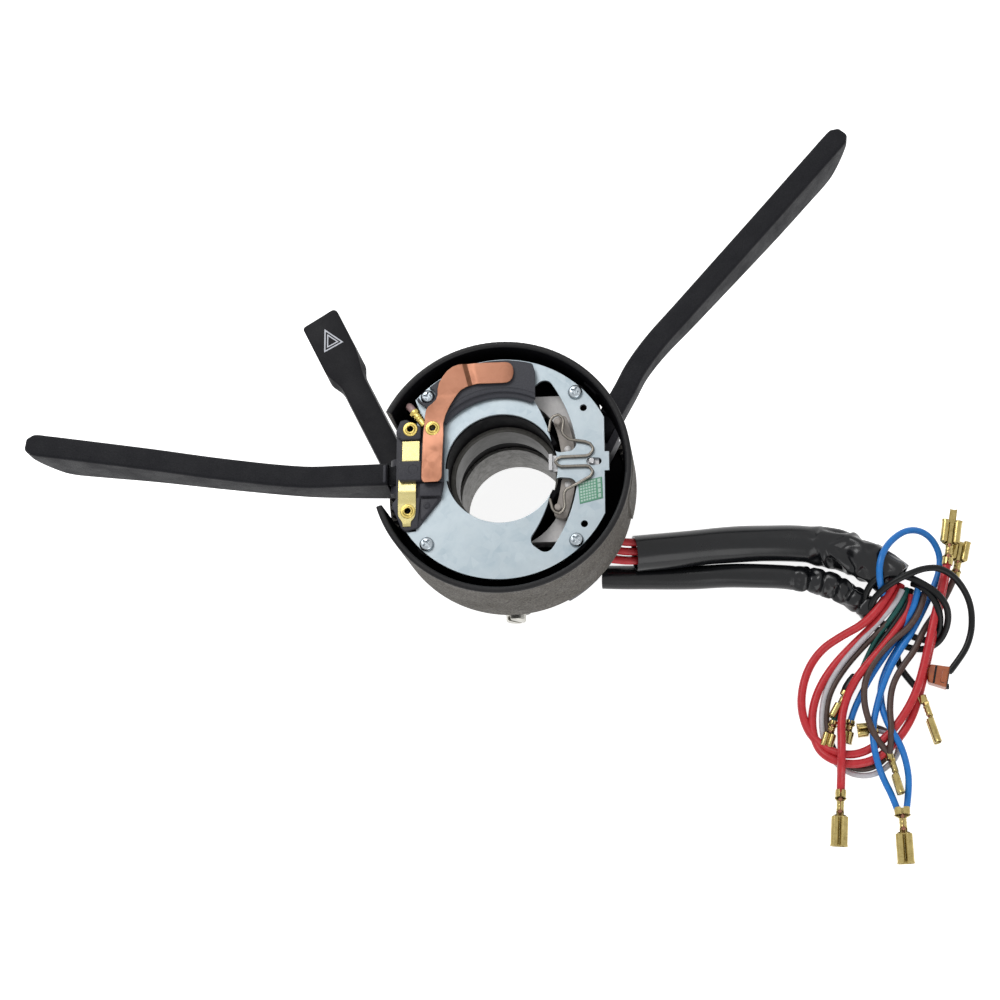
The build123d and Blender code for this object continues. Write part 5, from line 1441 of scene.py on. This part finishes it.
SIDE = polygon((-30.0, -10.6), (-21.9, -10.6), (-21.9, -5.6), (-30.0, -5.6), radius=0.4)
WEDGE = polygon((-29.6, -11.5), (-22.7, -11.5), (-29.6, -20.4), radius=0.5)
DECK = polygon((-28.7, -5.2), (-21.3, -5.2), (-21.3, 16.1), (-28.7, 16.1))
BUTTON = [(0.0, 0.0), (1.2, 0.0), (1.15, 0.45), (0.95, 0.62), (0.6, 0.64), (0.45, 0.45), (0.0, 0.42)]
pierced = [
    block(FOOT, 59.6, 62.6, 0.15), block(BASE, PLATE_TOP, 63.4, 0.25), block(DECK, 63.3, 66.0, 0.3),
    block(UPPER, 63.3, 65.6, 0.45), block(LOWER, 63.3, 64.0, 0.2),
]
whole_blocks = [
    block(SIDE, 63.3, 65.2, 0.35), block(WEDGE, 63.3, 64.5, 0.3),
    ring_mark(-38.0, 13.3, 65.55, 0.6, 0.3, 0.12), turned(BUTTON, -27.3, -14.1, 64.4, 28),
]
for i, mesh in enumerate(pierced):
    pierced[i] = bored(
        mesh, *[round_cutter(*seat, 59, 68, 1.72) for seat in (REAR_SEAT, HORN_SEAT, LEAF_SEAT)],
    )
moulding = merged(*pierced, *whole_blocks)
add_piece(
    moulding, "contact_moulding", "contact_black", "housing", ("contact_carrier",), sharp=38,
)

cap = merged(
    block(polygon((-37.6, -4.8), (-29.2, -4.8), (-29.2, 2.6), (-37.6, 2.6), radius=0.6), 64.52, 66.8, 0.4),
    ring_mark(-32.4, -0.6, 66.75, 1.75, 0.3, 0.14),
)
add_piece(cap, "bridge_cap", "contact_black", "housing", ("contact_bridge",))

# %% Crimp and its lead
way = Vector((math.cos(math.radians(126)), math.sin(math.radians(126)), 0))
start = Vector((-30.1, 19.1, 64.45))
CRIMP = [  # (place along the lead, radius)
    (-3.0, 1.2), (-2.8, 1.5), (-0.6, 1.5), (-0.3, 1.35), (0.1, 1.55), (0.5, 1.6), (0.8, 1.35), (1.1, 1.6),
    (1.5, 1.62), (1.8, 1.4), (2.3, 1.4), (2.6, 1.85), (3.0, 1.93), (3.9, 1.93), (4.15, 1.85), (4.2, 1.5),
]
crimp = tube([start + way * place for place, _ in CRIMP], [radius for _, radius in CRIMP], 0.92)
add_piece(crimp, "lead_crimp", "brass", "housing", ("crimp_terminal",), sharp=50)
LEAD = [  # (run, drop)
    (0.0, 0.0), (0.9, -0.1), (1.9, -0.45), (2.8, -1.1), (3.4, -2.0), (3.7, -3.0), (3.8, -4.2),
]
lead = [start + way * (4.0 + run) + Vector((0, 0, drop)) for run, drop in LEAD]
lead_mesh = tube(lead, [1.33] * len(lead))
add_piece(lead_mesh, "crimp_lead", "lead_pink", "housing", ("lead_stub",), sharp=60)

# %% [markdown]
# ## The paper label
# A small square of paper with a plain printed grid. The print is a field of thin pale cells that lie
# on the green sheet, with one separate column on the right.

# %% Label
TOP_LEFT, TOP_RIGHT = Vector((28.3, -6.3)), Vector((37.1, -4.6))
LOW_RIGHT, LOW_LEFT = Vector((37.4, -12.8)), Vector((28.9, -14.8))
PAPER_TOP, PRINT_TOP, MARGIN, PRINTED = 62.74, 62.76, 0.05, 0.92
COLUMNS = [(MARGIN + 0.118 * k, 0.135 + 0.118 * k, 7, 0.66) for k in range(6)]  # (left, right, cells, filled)
COLUMNS.append((0.80, 0.93, 4, 0.8))


def on_label(s, t):
    """The point at a share of the label's width and of its height."""
    return TOP_LEFT.lerp(TOP_RIGHT, s).lerp(LOW_LEFT.lerp(LOW_RIGHT, s), t)


sheet = block([TOP_LEFT, LOW_LEFT, LOW_RIGHT, TOP_RIGHT], PLATE_TOP, PAPER_TOP, 0.03)
cells = []
for s0, s1, count, filled in COLUMNS:
    for row in range(count):
        t0 = MARGIN + PRINTED * row / count
        t1 = t0 + PRINTED / count * filled
        corners = [on_label(s0, t0), on_label(s0, t1), on_label(s1, t1), on_label(s1, t0)]
        cells.append(block(corners, PAPER_TOP - 0.02, PRINT_TOP, 0.01))
sheet_faces = len(sheet.polygons)
label_mesh = merged(sheet, *cells)
for face in list(label_mesh.polygons)[sheet_faces:]:
    face.material_index = 1
add_piece(
    label_mesh, "grid_label", ["label_green", "label_pale"], "housing", ("label",), sharp=60,
)

# %% [markdown]
# ## The loom's wires
# A wire is a tube round one smooth line, so a Bezier or NURBS curve with a round bevel suits it: the
# control points are few, the line is smooth by itself, and the thickness is one number. Most routes
# start in a sleeve's mouth and end in a terminal, and one brown wire joins two terminals. The red
# pair loops round and comes back up, and the black wire takes two turns round the bundle before it
# runs to the flag connector.

# %% One wire from a route
def wire(name, route, diameter, finish, replaces=()):
    """A round cord through control points in metres, which prints its measured length."""
    piece = nurbs_curve(name, route, 10)
    line, fine = piece.data, centre_line(piece)
    length = sum((b - a).length for a, b in zip(fine, fine[1:]))
    line.bevel_depth = diameter / 2
    line.bevel_resolution = 3
    line.use_fill_caps = True
    line.materials.append(finishes[finish])
    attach(piece, "housing")
    if replaces:
        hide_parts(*replaces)
    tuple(route[0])
    print(name, round(length * 1000), "mm")

# %% Blue wires
wire(
    "lead_blue_loop",
    [
        (0.1398, -0.0395, 0.0085), (0.1384, -0.0355, 0.0135), (0.1381, -0.0300, 0.0162),
        (0.1396, -0.0238, 0.0154), (0.1434, -0.0180, 0.0125), (0.1490, -0.0134, 0.0088),
        (0.1547, -0.0126, 0.0053), (0.1594, -0.0154, 0.0026), (0.1620, -0.0214, 0.0014),
        (0.1616, -0.0276, 0.0014), (0.1590, -0.0343, 0.0014), (0.1560, -0.0407, 0.0026),
        (0.1499, -0.0525, 0.0056), (0.1455, -0.0586, 0.0060), (0.1411, -0.0658, 0.0054),
        (0.1377, -0.0734, 0.0044), (0.1353, -0.0812, 0.0040), (0.1338, -0.0877, 0.0044),
        (0.1335, -0.0948, 0.0068), (0.1347, -0.1022, 0.0068), (0.1370, -0.1082, 0.0030),
        (0.1398, -0.1137, 0.0016), (0.1417, -0.1196, 0.0016),
    ],
    0.0026, "wire_blue", ("blue_loop", "blue_low_a"),
)
wire(
    "lead_blue_right",
    [
        (0.1542, -0.0372, 0.0064), (0.1515, -0.0481, 0.0046), (0.1457, -0.0563, 0.0044),
        (0.1404, -0.0643, 0.0030), (0.1371, -0.0725, 0.0022), (0.1374, -0.0809, 0.0022),
        (0.1398, -0.0890, 0.0064), (0.1436, -0.0955, 0.0066), (0.1458, -0.1024, 0.0028),
        (0.1465, -0.1103, 0.0015), (0.1449, -0.1194, 0.0016),
    ],
    0.0026, "wire_blue", ("blue_low_b",),
)
wire(
    "lead_blue_short",
    [
        (0.1527, -0.0360, 0.0090), (0.1515, -0.0424, 0.0086), (0.1468, -0.0507, 0.0046),
        (0.1401, -0.0598, 0.0040), (0.1348, -0.0671, 0.0036), (0.1300, -0.0752, 0.0026),
        (0.1265, -0.0823, 0.0014), (0.1254, -0.0862, 0.0014),
    ],
    0.0025, "wire_blue", ("wire_hank",),
)

# %% Red wires
wire(
    "lead_red_outer",
    [
        (0.1437, -0.0344, 0.0095), (0.1393, -0.0419, 0.0095), (0.1322, -0.0493, 0.0080),
        (0.1235, -0.0531, 0.0050), (0.1152, -0.0579, 0.0024), (0.1094, -0.0665, 0.0016),
        (0.1069, -0.0782, 0.0016), (0.1091, -0.0885, 0.0016), (0.1139, -0.0943, 0.0026),
        (0.1200, -0.0983, 0.0042), (0.1285, -0.0987, 0.0039), (0.1377, -0.0934, 0.0039),
        (0.1448, -0.0853, 0.0048), (0.1501, -0.0764, 0.0062), (0.1532, -0.0673, 0.0066),
        (0.1559, -0.0572, 0.0070), (0.1585, -0.0469, 0.0070), (0.1609, -0.0385, 0.0070),
        (0.1643, -0.0260, 0.0070),
    ],
    0.0032, "wire_red", ("red_top",),
)
wire(
    "lead_red_inner",
    [
        (0.1466, -0.0342, 0.0065), (0.1435, -0.0401, 0.0075), (0.1355, -0.0496, 0.0056),
        (0.1275, -0.0563, 0.0024), (0.1186, -0.0653, 0.0016), (0.1127, -0.0755, 0.0016),
        (0.1108, -0.0857, 0.0016), (0.1125, -0.0951, 0.0022), (0.1168, -0.1000, 0.0040),
        (0.1247, -0.1026, 0.0042), (0.1333, -0.1012, 0.0039), (0.1402, -0.0962, 0.0038),
        (0.1460, -0.0892, 0.0026), (0.1501, -0.0811, 0.0018), (0.1533, -0.0700, 0.0018),
        (0.1557, -0.0608, 0.0022), (0.1587, -0.0499, 0.0036), (0.1615, -0.0386, 0.0038),
        (0.1641, -0.0282, 0.0040),
    ],
    0.0032, "wire_red",
)
wire(
    "lead_red_low",
    [
        (0.1505, -0.0381, 0.0065), (0.1494, -0.0435, 0.0055), (0.1440, -0.0520, 0.0062),
        (0.1363, -0.0609, 0.0070), (0.1287, -0.0691, 0.0068), (0.1241, -0.0772, 0.0040),
        (0.1220, -0.0855, 0.0042), (0.1219, -0.0945, 0.0074), (0.1214, -0.1027, 0.0074),
        (0.1212, -0.1082, 0.0026), (0.1209, -0.1126, 0.0018),
    ],
    0.0032, "wire_red", ("red_low",),
)

# %% Brown, grey and green wires
wire(
    "lead_brown_left",
    [
        (0.1555, -0.0365, 0.0070), (0.1538, -0.0433, 0.0080), (0.1494, -0.0507, 0.0078),
        (0.1424, -0.0560, 0.0074), (0.1358, -0.0628, 0.0074), (0.1314, -0.0706, 0.0070),
        (0.1306, -0.0789, 0.0066), (0.1323, -0.0873, 0.0070), (0.1350, -0.0938, 0.0070),
        (0.1374, -0.0965, 0.0056), (0.1389, -0.0985, 0.0040),
    ],
    0.0025, "wire_brown",
)
wire(
    "lead_brown_right",
    [
        (0.1674, -0.0298, 0.0014), (0.1640, -0.0372, 0.0014), (0.1590, -0.0447, 0.0016),
        (0.1540, -0.0518, 0.0040), (0.1509, -0.0590, 0.0052), (0.1457, -0.0655, 0.0054),
        (0.1415, -0.0726, 0.0046), (0.1402, -0.0814, 0.0046), (0.1405, -0.0895, 0.0072),
        (0.1401, -0.0955, 0.0064), (0.1392, -0.0990, 0.0044),
    ],
    0.0025, "wire_brown", ("brown_top",),
)
wire(
    "lead_brown_low",
    [
        (0.1482, -0.0389, 0.0062), (0.1443, -0.0454, 0.0062), (0.1382, -0.0510, 0.0046),
        (0.1316, -0.0571, 0.0030), (0.1245, -0.0645, 0.0014), (0.1187, -0.0732, 0.0012),
        (0.1166, -0.0811, 0.0011), (0.1168, -0.0895, 0.0011), (0.1198, -0.0983, 0.0011),
        (0.1253, -0.1034, 0.0011), (0.1316, -0.1039, 0.0011), (0.1372, -0.1009, 0.0011),
        (0.1408, -0.0960, 0.0011), (0.1404, -0.0892, 0.0011), (0.1346, -0.0878, 0.0012),
    ],
    0.0022, "wire_brown",
)
wire(
    "lead_grey",
    [
        (0.1468, -0.0366, 0.0085), (0.1443, -0.0417, 0.0082), (0.1378, -0.0480, 0.0062),
        (0.1302, -0.0559, 0.0044), (0.1227, -0.0637, 0.0024), (0.1169, -0.0727, 0.0014),
        (0.1148, -0.0820, 0.0011), (0.1149, -0.0913, 0.0011), (0.1182, -0.1001, 0.0011),
        (0.1243, -0.1053, 0.0011), (0.1310, -0.1065, 0.0011), (0.1369, -0.1044, 0.0011),
        (0.1432, -0.0985, 0.0011), (0.1430, -0.0900, 0.0011), (0.1346, -0.0890, 0.0012),
    ],
    0.0022, "wire_grey",
)
wire(
    "lead_green",
    [
        (0.1487, -0.0358, 0.0070), (0.1470, -0.0403, 0.0080), (0.1433, -0.0458, 0.0062),
        (0.1372, -0.0531, 0.0040), (0.1328, -0.0610, 0.0018), (0.1289, -0.0693, 0.0012),
        (0.1248, -0.0766, 0.0012), (0.1215, -0.0810, 0.0018), (0.1197, -0.0845, 0.0034),
        (0.1190, -0.0866, 0.0034),
    ],
    0.0022, "wire_green",
)

# %% Black wires
wire(
    "lead_black_low",
    [
        (0.1502, -0.0359, 0.0055), (0.1485, -0.0418, 0.0064), (0.1432, -0.0498, 0.0052),
        (0.1366, -0.0578, 0.0042), (0.1318, -0.0648, 0.0024), (0.1280, -0.0688, 0.0020),
        (0.1251, -0.0725, 0.0020), (0.1236, -0.0752, 0.0020),
    ],
    0.0026, "wire_black",
)
wire(
    "lead_black_right",
    [
        (0.1519, -0.0387, 0.0050), (0.1505, -0.0461, 0.0046), (0.1462, -0.0545, 0.0044),
        (0.1435, -0.0607, 0.0030), (0.1453, -0.0660, 0.0016), (0.1492, -0.0712, 0.0014),
        (0.1514, -0.0740, 0.0016), (0.1527, -0.0778, 0.0018),
    ],
    0.0026, "wire_black", ("black_tail",),
)
wire(
    "lead_black_turns",
    [
        (0.1507, -0.0342, 0.0080), (0.1545, -0.0365, 0.0110), (0.1579, -0.0403, 0.0110),
        (0.1602, -0.0450, 0.0090), (0.1607, -0.0493, 0.0056), (0.1596, -0.0530, 0.0026),
        (0.1565, -0.0552, 0.0014), (0.1519, -0.0541, 0.0014), (0.1465, -0.0514, 0.0014),
        (0.1404, -0.0487, 0.0014), (0.1356, -0.0457, 0.0018), (0.1331, -0.0424, 0.0044),
        (0.1326, -0.0391, 0.0080), (0.1344, -0.0355, 0.0110), (0.1376, -0.0328, 0.0126),
        (0.1426, -0.0314, 0.0132), (0.1481, -0.0324, 0.0134), (0.1541, -0.0355, 0.0134),
        (0.1594, -0.0391, 0.0126), (0.1627, -0.0432, 0.0106), (0.1637, -0.0473, 0.0076),
        (0.1627, -0.0518, 0.0040), (0.1599, -0.0559, 0.0016), (0.1548, -0.0585, 0.0014),
        (0.1493, -0.0579, 0.0014), (0.1433, -0.0553, 0.0014), (0.1384, -0.0521, 0.0014),
        (0.1353, -0.0486, 0.0030), (0.1344, -0.0449, 0.0066), (0.1354, -0.0410, 0.0100),
        (0.1386, -0.0380, 0.0130), (0.1436, -0.0350, 0.0156), (0.1490, -0.0326, 0.0164),
        (0.1550, -0.0303, 0.0158), (0.1612, -0.0298, 0.0138), (0.1675, -0.0335, 0.0104),
        (0.1723, -0.0410, 0.0050), (0.1728, -0.0499, 0.0015), (0.1706, -0.0573, 0.0015),
        (0.1674, -0.0622, 0.0015), (0.1636, -0.0670, 0.0015),
    ],
    0.0026, "wire_black", ("black_loop",),
)

# %% [markdown]
# ## The two vinyl sleeves
# Soft vinyl sleeving is smooth where it lies straight and dents where it bends and is pinched.
# Each sleeve is a ring swept along its line. The dents come from cells: the wall sinks in the middle
# of each cell and stays proud where cells meet, which leaves the thin ridges of creased vinyl. The
# small sleeve also buckles in even rings on the inside of its bend. Both mouths are turned inwards,
# so a real wall shows there.

# %% Sleeves
def dents(c, d, along, seed, cell):
    """0 on the ridges between cells and up to 1 in the middle of a cell."""
    near = noise.voronoi(
        Vector((c * cell + seed, d * cell, along)), distance_metric="DISTANCE", exponent=2.0,
    )[0]
    gap = min(1.0, (near[1] - near[0]) / 0.8)
    return gap * gap * (3 - 2 * gap)


STEP, AROUND = 0.0005, 72  # the rings' spacing, and the points in each
CREASE, RING_SPACE, SETTLE = 8.5, 5.6, 7.0  # the cells' length, the buckles' spacing, the folds' run-in
VINYL, MOUTH = 0.9 * MM, 0.007  # the wall's thickness, and how far the inner wall is shown


def sleeve(name, route, radius, crumple_from, depth, seed, ripple):
    """A vinyl sleeve with folds near its end; crumple_from is the folded length in millimetres."""
    fine = evened(nurbs_line(route), STEP)
    total = len(fine) - 1
    step = (fine[1] - fine[0]).length
    rows, frames = [], []
    side = Vector((0, 0, 1))
    for i, spot in enumerate(fine):
        ahead = (fine[min(i + 1, total)] - fine[max(i - 1, 0)]).normalized()
        side = (side - ahead * side.dot(ahead)).normalized()
        frames.append((spot, side, ahead.cross(side)))
    for i, (spot, u, v) in enumerate(frames):
        left = (total - i) * step / MM
        share = min(1.0, max(0.0, (crumple_from - left) / SETTLE))
        crumple = share * share * (3 - 2 * share)
        row = []
        for k in range(AROUND):
            angle = 2 * math.pi * k / AROUND
            c, d = math.cos(angle), math.sin(angle)
            slant = (i * step / MM + 3.4 * math.sin(angle + 0.4 * seed)) / CREASE
            big = dents(c, d, slant, seed, radius / MM / CREASE)
            pinch = noise.noise(Vector((c * 0.7, d * 0.7 + seed, slant * 0.55)))
            push = crumple * depth * (0.4 - 1.15 * big - 0.6 * max(0.0, pinch))
            if ripple:
                ring = abs(math.sin(math.pi * left / RING_SPACE))
                push -= crumple * depth * 0.9 * (1 - ring) ** 2 * (0.5 + 0.5 * c)
            push += 0.00030 * noise.noise(Vector((c * 0.8, d * 0.8 + seed, i * step / MM * 0.06)))
            low = spot + u * ((radius + push) * c) + v * ((radius + push) * d)
            low.z = max(low.z, ABOVE_GROUND)
            row.append(low)
        rows.append(row)

    def inward(row, centre, shift, scale):
        return [centre + (p - centre) * scale + shift for p in row]

    start_ahead = (fine[8] - fine[0]).normalized()
    end_ahead = (fine[-1] - fine[-9]).normalized()
    thin = 1 - VINYL / radius
    deep = thin * 0.97
    first = [inward(rows[0], fine[0], start_ahead * MOUTH, deep), inward(rows[0], fine[0], Vector(), thin)]
    last = [inward(rows[-1], fine[-1], Vector(), thin), inward(rows[-1], fine[-1], end_ahead * -MOUTH, deep)]
    mesh = rows_to_mesh(first + rows + last)
    packed = name.replace("vinyl", "sleeve")
    piece = add_piece(mesh, name, "sleeve_black", "housing", (packed,), sharp=75)


sleeve(
    "vinyl_large",
    [
        (0.0460, -0.0212, 0.0145), (0.0630, -0.0191, 0.0110), (0.0820, -0.0166, 0.0076),
        (0.1040, -0.0164, 0.0072), (0.1215, -0.0188, 0.0072), (0.1345, -0.0242, 0.0072),
        (0.1448, -0.0330, 0.0072),
    ],
    0.0070, 38.0, 0.0027, 4.0, False,
)
sleeve(
    "vinyl_small",
    [
        (0.0330, -0.0274, 0.0046), (0.0580, -0.0287, 0.0046), (0.0920, -0.0281, 0.0046),
        (0.1145, -0.0310, 0.0046), (0.1255, -0.0355, 0.0046), (0.1358, -0.0444, 0.0046),
    ],
    0.0046, 36.0, 0.0016, 9.0, True,
)

# %% [markdown]
# ## The short wires into the large sleeve
# Three red wires and a brown one leave the sockets and dive into the sleeve's mouth. They stand for
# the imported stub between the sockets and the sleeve.

# %% Stub wires
STUBS = [  # (name, finish, diameter, solids it stands for, start, middle, end)
    (
        "stub_red_top", "wire_red", 0.0031, ("outlet_wires",), (0.0330, -0.0160, 0.0190),
        (0.0440, -0.0174, 0.0172), (0.0700, -0.0163, 0.0118),
    ),
    (
        "stub_red_middle", "wire_red", 0.0031, (), (0.0325, -0.0194, 0.0176), (0.0440, -0.0207, 0.0158),
        (0.0700, -0.0190, 0.0100),
    ),
    (
        "stub_red_low", "wire_red", 0.0031, (), (0.0320, -0.0228, 0.0162), (0.0440, -0.0240, 0.0144),
        (0.0700, -0.0212, 0.0085),
    ),
    (
        "stub_brown", "wire_brown", 0.0026, (), (0.0325, -0.0215, 0.0132), (0.0440, -0.0226, 0.0112),
        (0.0700, -0.0190, 0.0068),
    ),
]
for name, finish, diameter, shown, start, middle, end in STUBS:
    near = Vector(start).lerp(Vector(middle), 0.6)
    away = Vector(middle).lerp(Vector(end), 0.45)
    route = [start, tuple(near), middle, tuple(away), end]
    wire(name, route, diameter, finish, shown)

# %% [markdown]
# ## Finishes for the imported solids
# Whatever the pieces above don't stand for is shown by its imported solid, whose shape is right, with
# the finish that the table below gives for its name, or brass.

# %% Finish the imported solids
NODE_FINISH = {
    "housing_shell": "housing_plastic", "clamp_collar": "cast_zinc", "collar_screws": "screw_steel",
    "clamp_screw": "clamp_steel", "bearing_ring": "ring_grey", "base_plate": "plate_zinc",
    "plate_screws": "screw_steel", "turn_carrier": "switch_nylon", "turn_pivot_pin": "pin_steel",
    "turn_flash_pin": "contact_black", "cancel_pawl_upper": "pawl_nylon", "cancel_pawl_lower": "pawl_nylon",
    "cancel_finger": "pin_steel", "cancel_spring": "spring_wire", "turn_stalk": "stalk_black",
    "wiper_carrier": "contact_black", "wiper_pivot_pin": "pin_steel", "washer_pin": "pin_steel",
    "wiper_stalk": "stalk_black", "hazard_lever": "hazard_black", "hazard_pin": "pin_steel",
    "contact_carrier": "contact_black", "horn_strip": "copper", "arc_block": "arc_black",
    "brass_leaf": "leaf_brass", "contact_bridge": "contact_black", "eyelets": "brass",
    "crimp_terminal": "brass", "lead_stub": "lead_pink", "label": "mark_white",
    "terminal_block": "contact_black", "outlet_wires": "wire_red", "flag_connector": "connector_amber",
    "sleeve_large": "sleeve_black", "sleeve_small": "sleeve_black",
}
for name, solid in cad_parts.items():
    finish = finishes[NODE_FINISH.get(name, "brass")]
    solid.data.materials.clear()
    solid.data.materials.append(finish)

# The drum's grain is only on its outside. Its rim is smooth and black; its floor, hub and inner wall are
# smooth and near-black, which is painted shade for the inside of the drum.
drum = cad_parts["housing_shell"].data
drum.materials.append(finishes["housing_inside"])
drum.materials.append(finishes["housing_rim"])
REAR_RADIUS, WIDENING = 0.0465, 0.0018  # the drum's radius at its floor, and how much it grows
FLOOR, DRUM_HEIGHT, RIM = 0.0226, 0.0439, 0.0655
SKIN = 0.0015  # a face less deep than this counts as outside
for face in drum.polygons:
    spot = face.center
    wall = REAR_RADIUS + WIDENING * (spot.z - FLOOR) / DRUM_HEIGHT
    face.material_index = 2 if spot.z > RIM else 0 if spot.xy.length > wall - SKIN else 1
print("solids finished:", len(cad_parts))
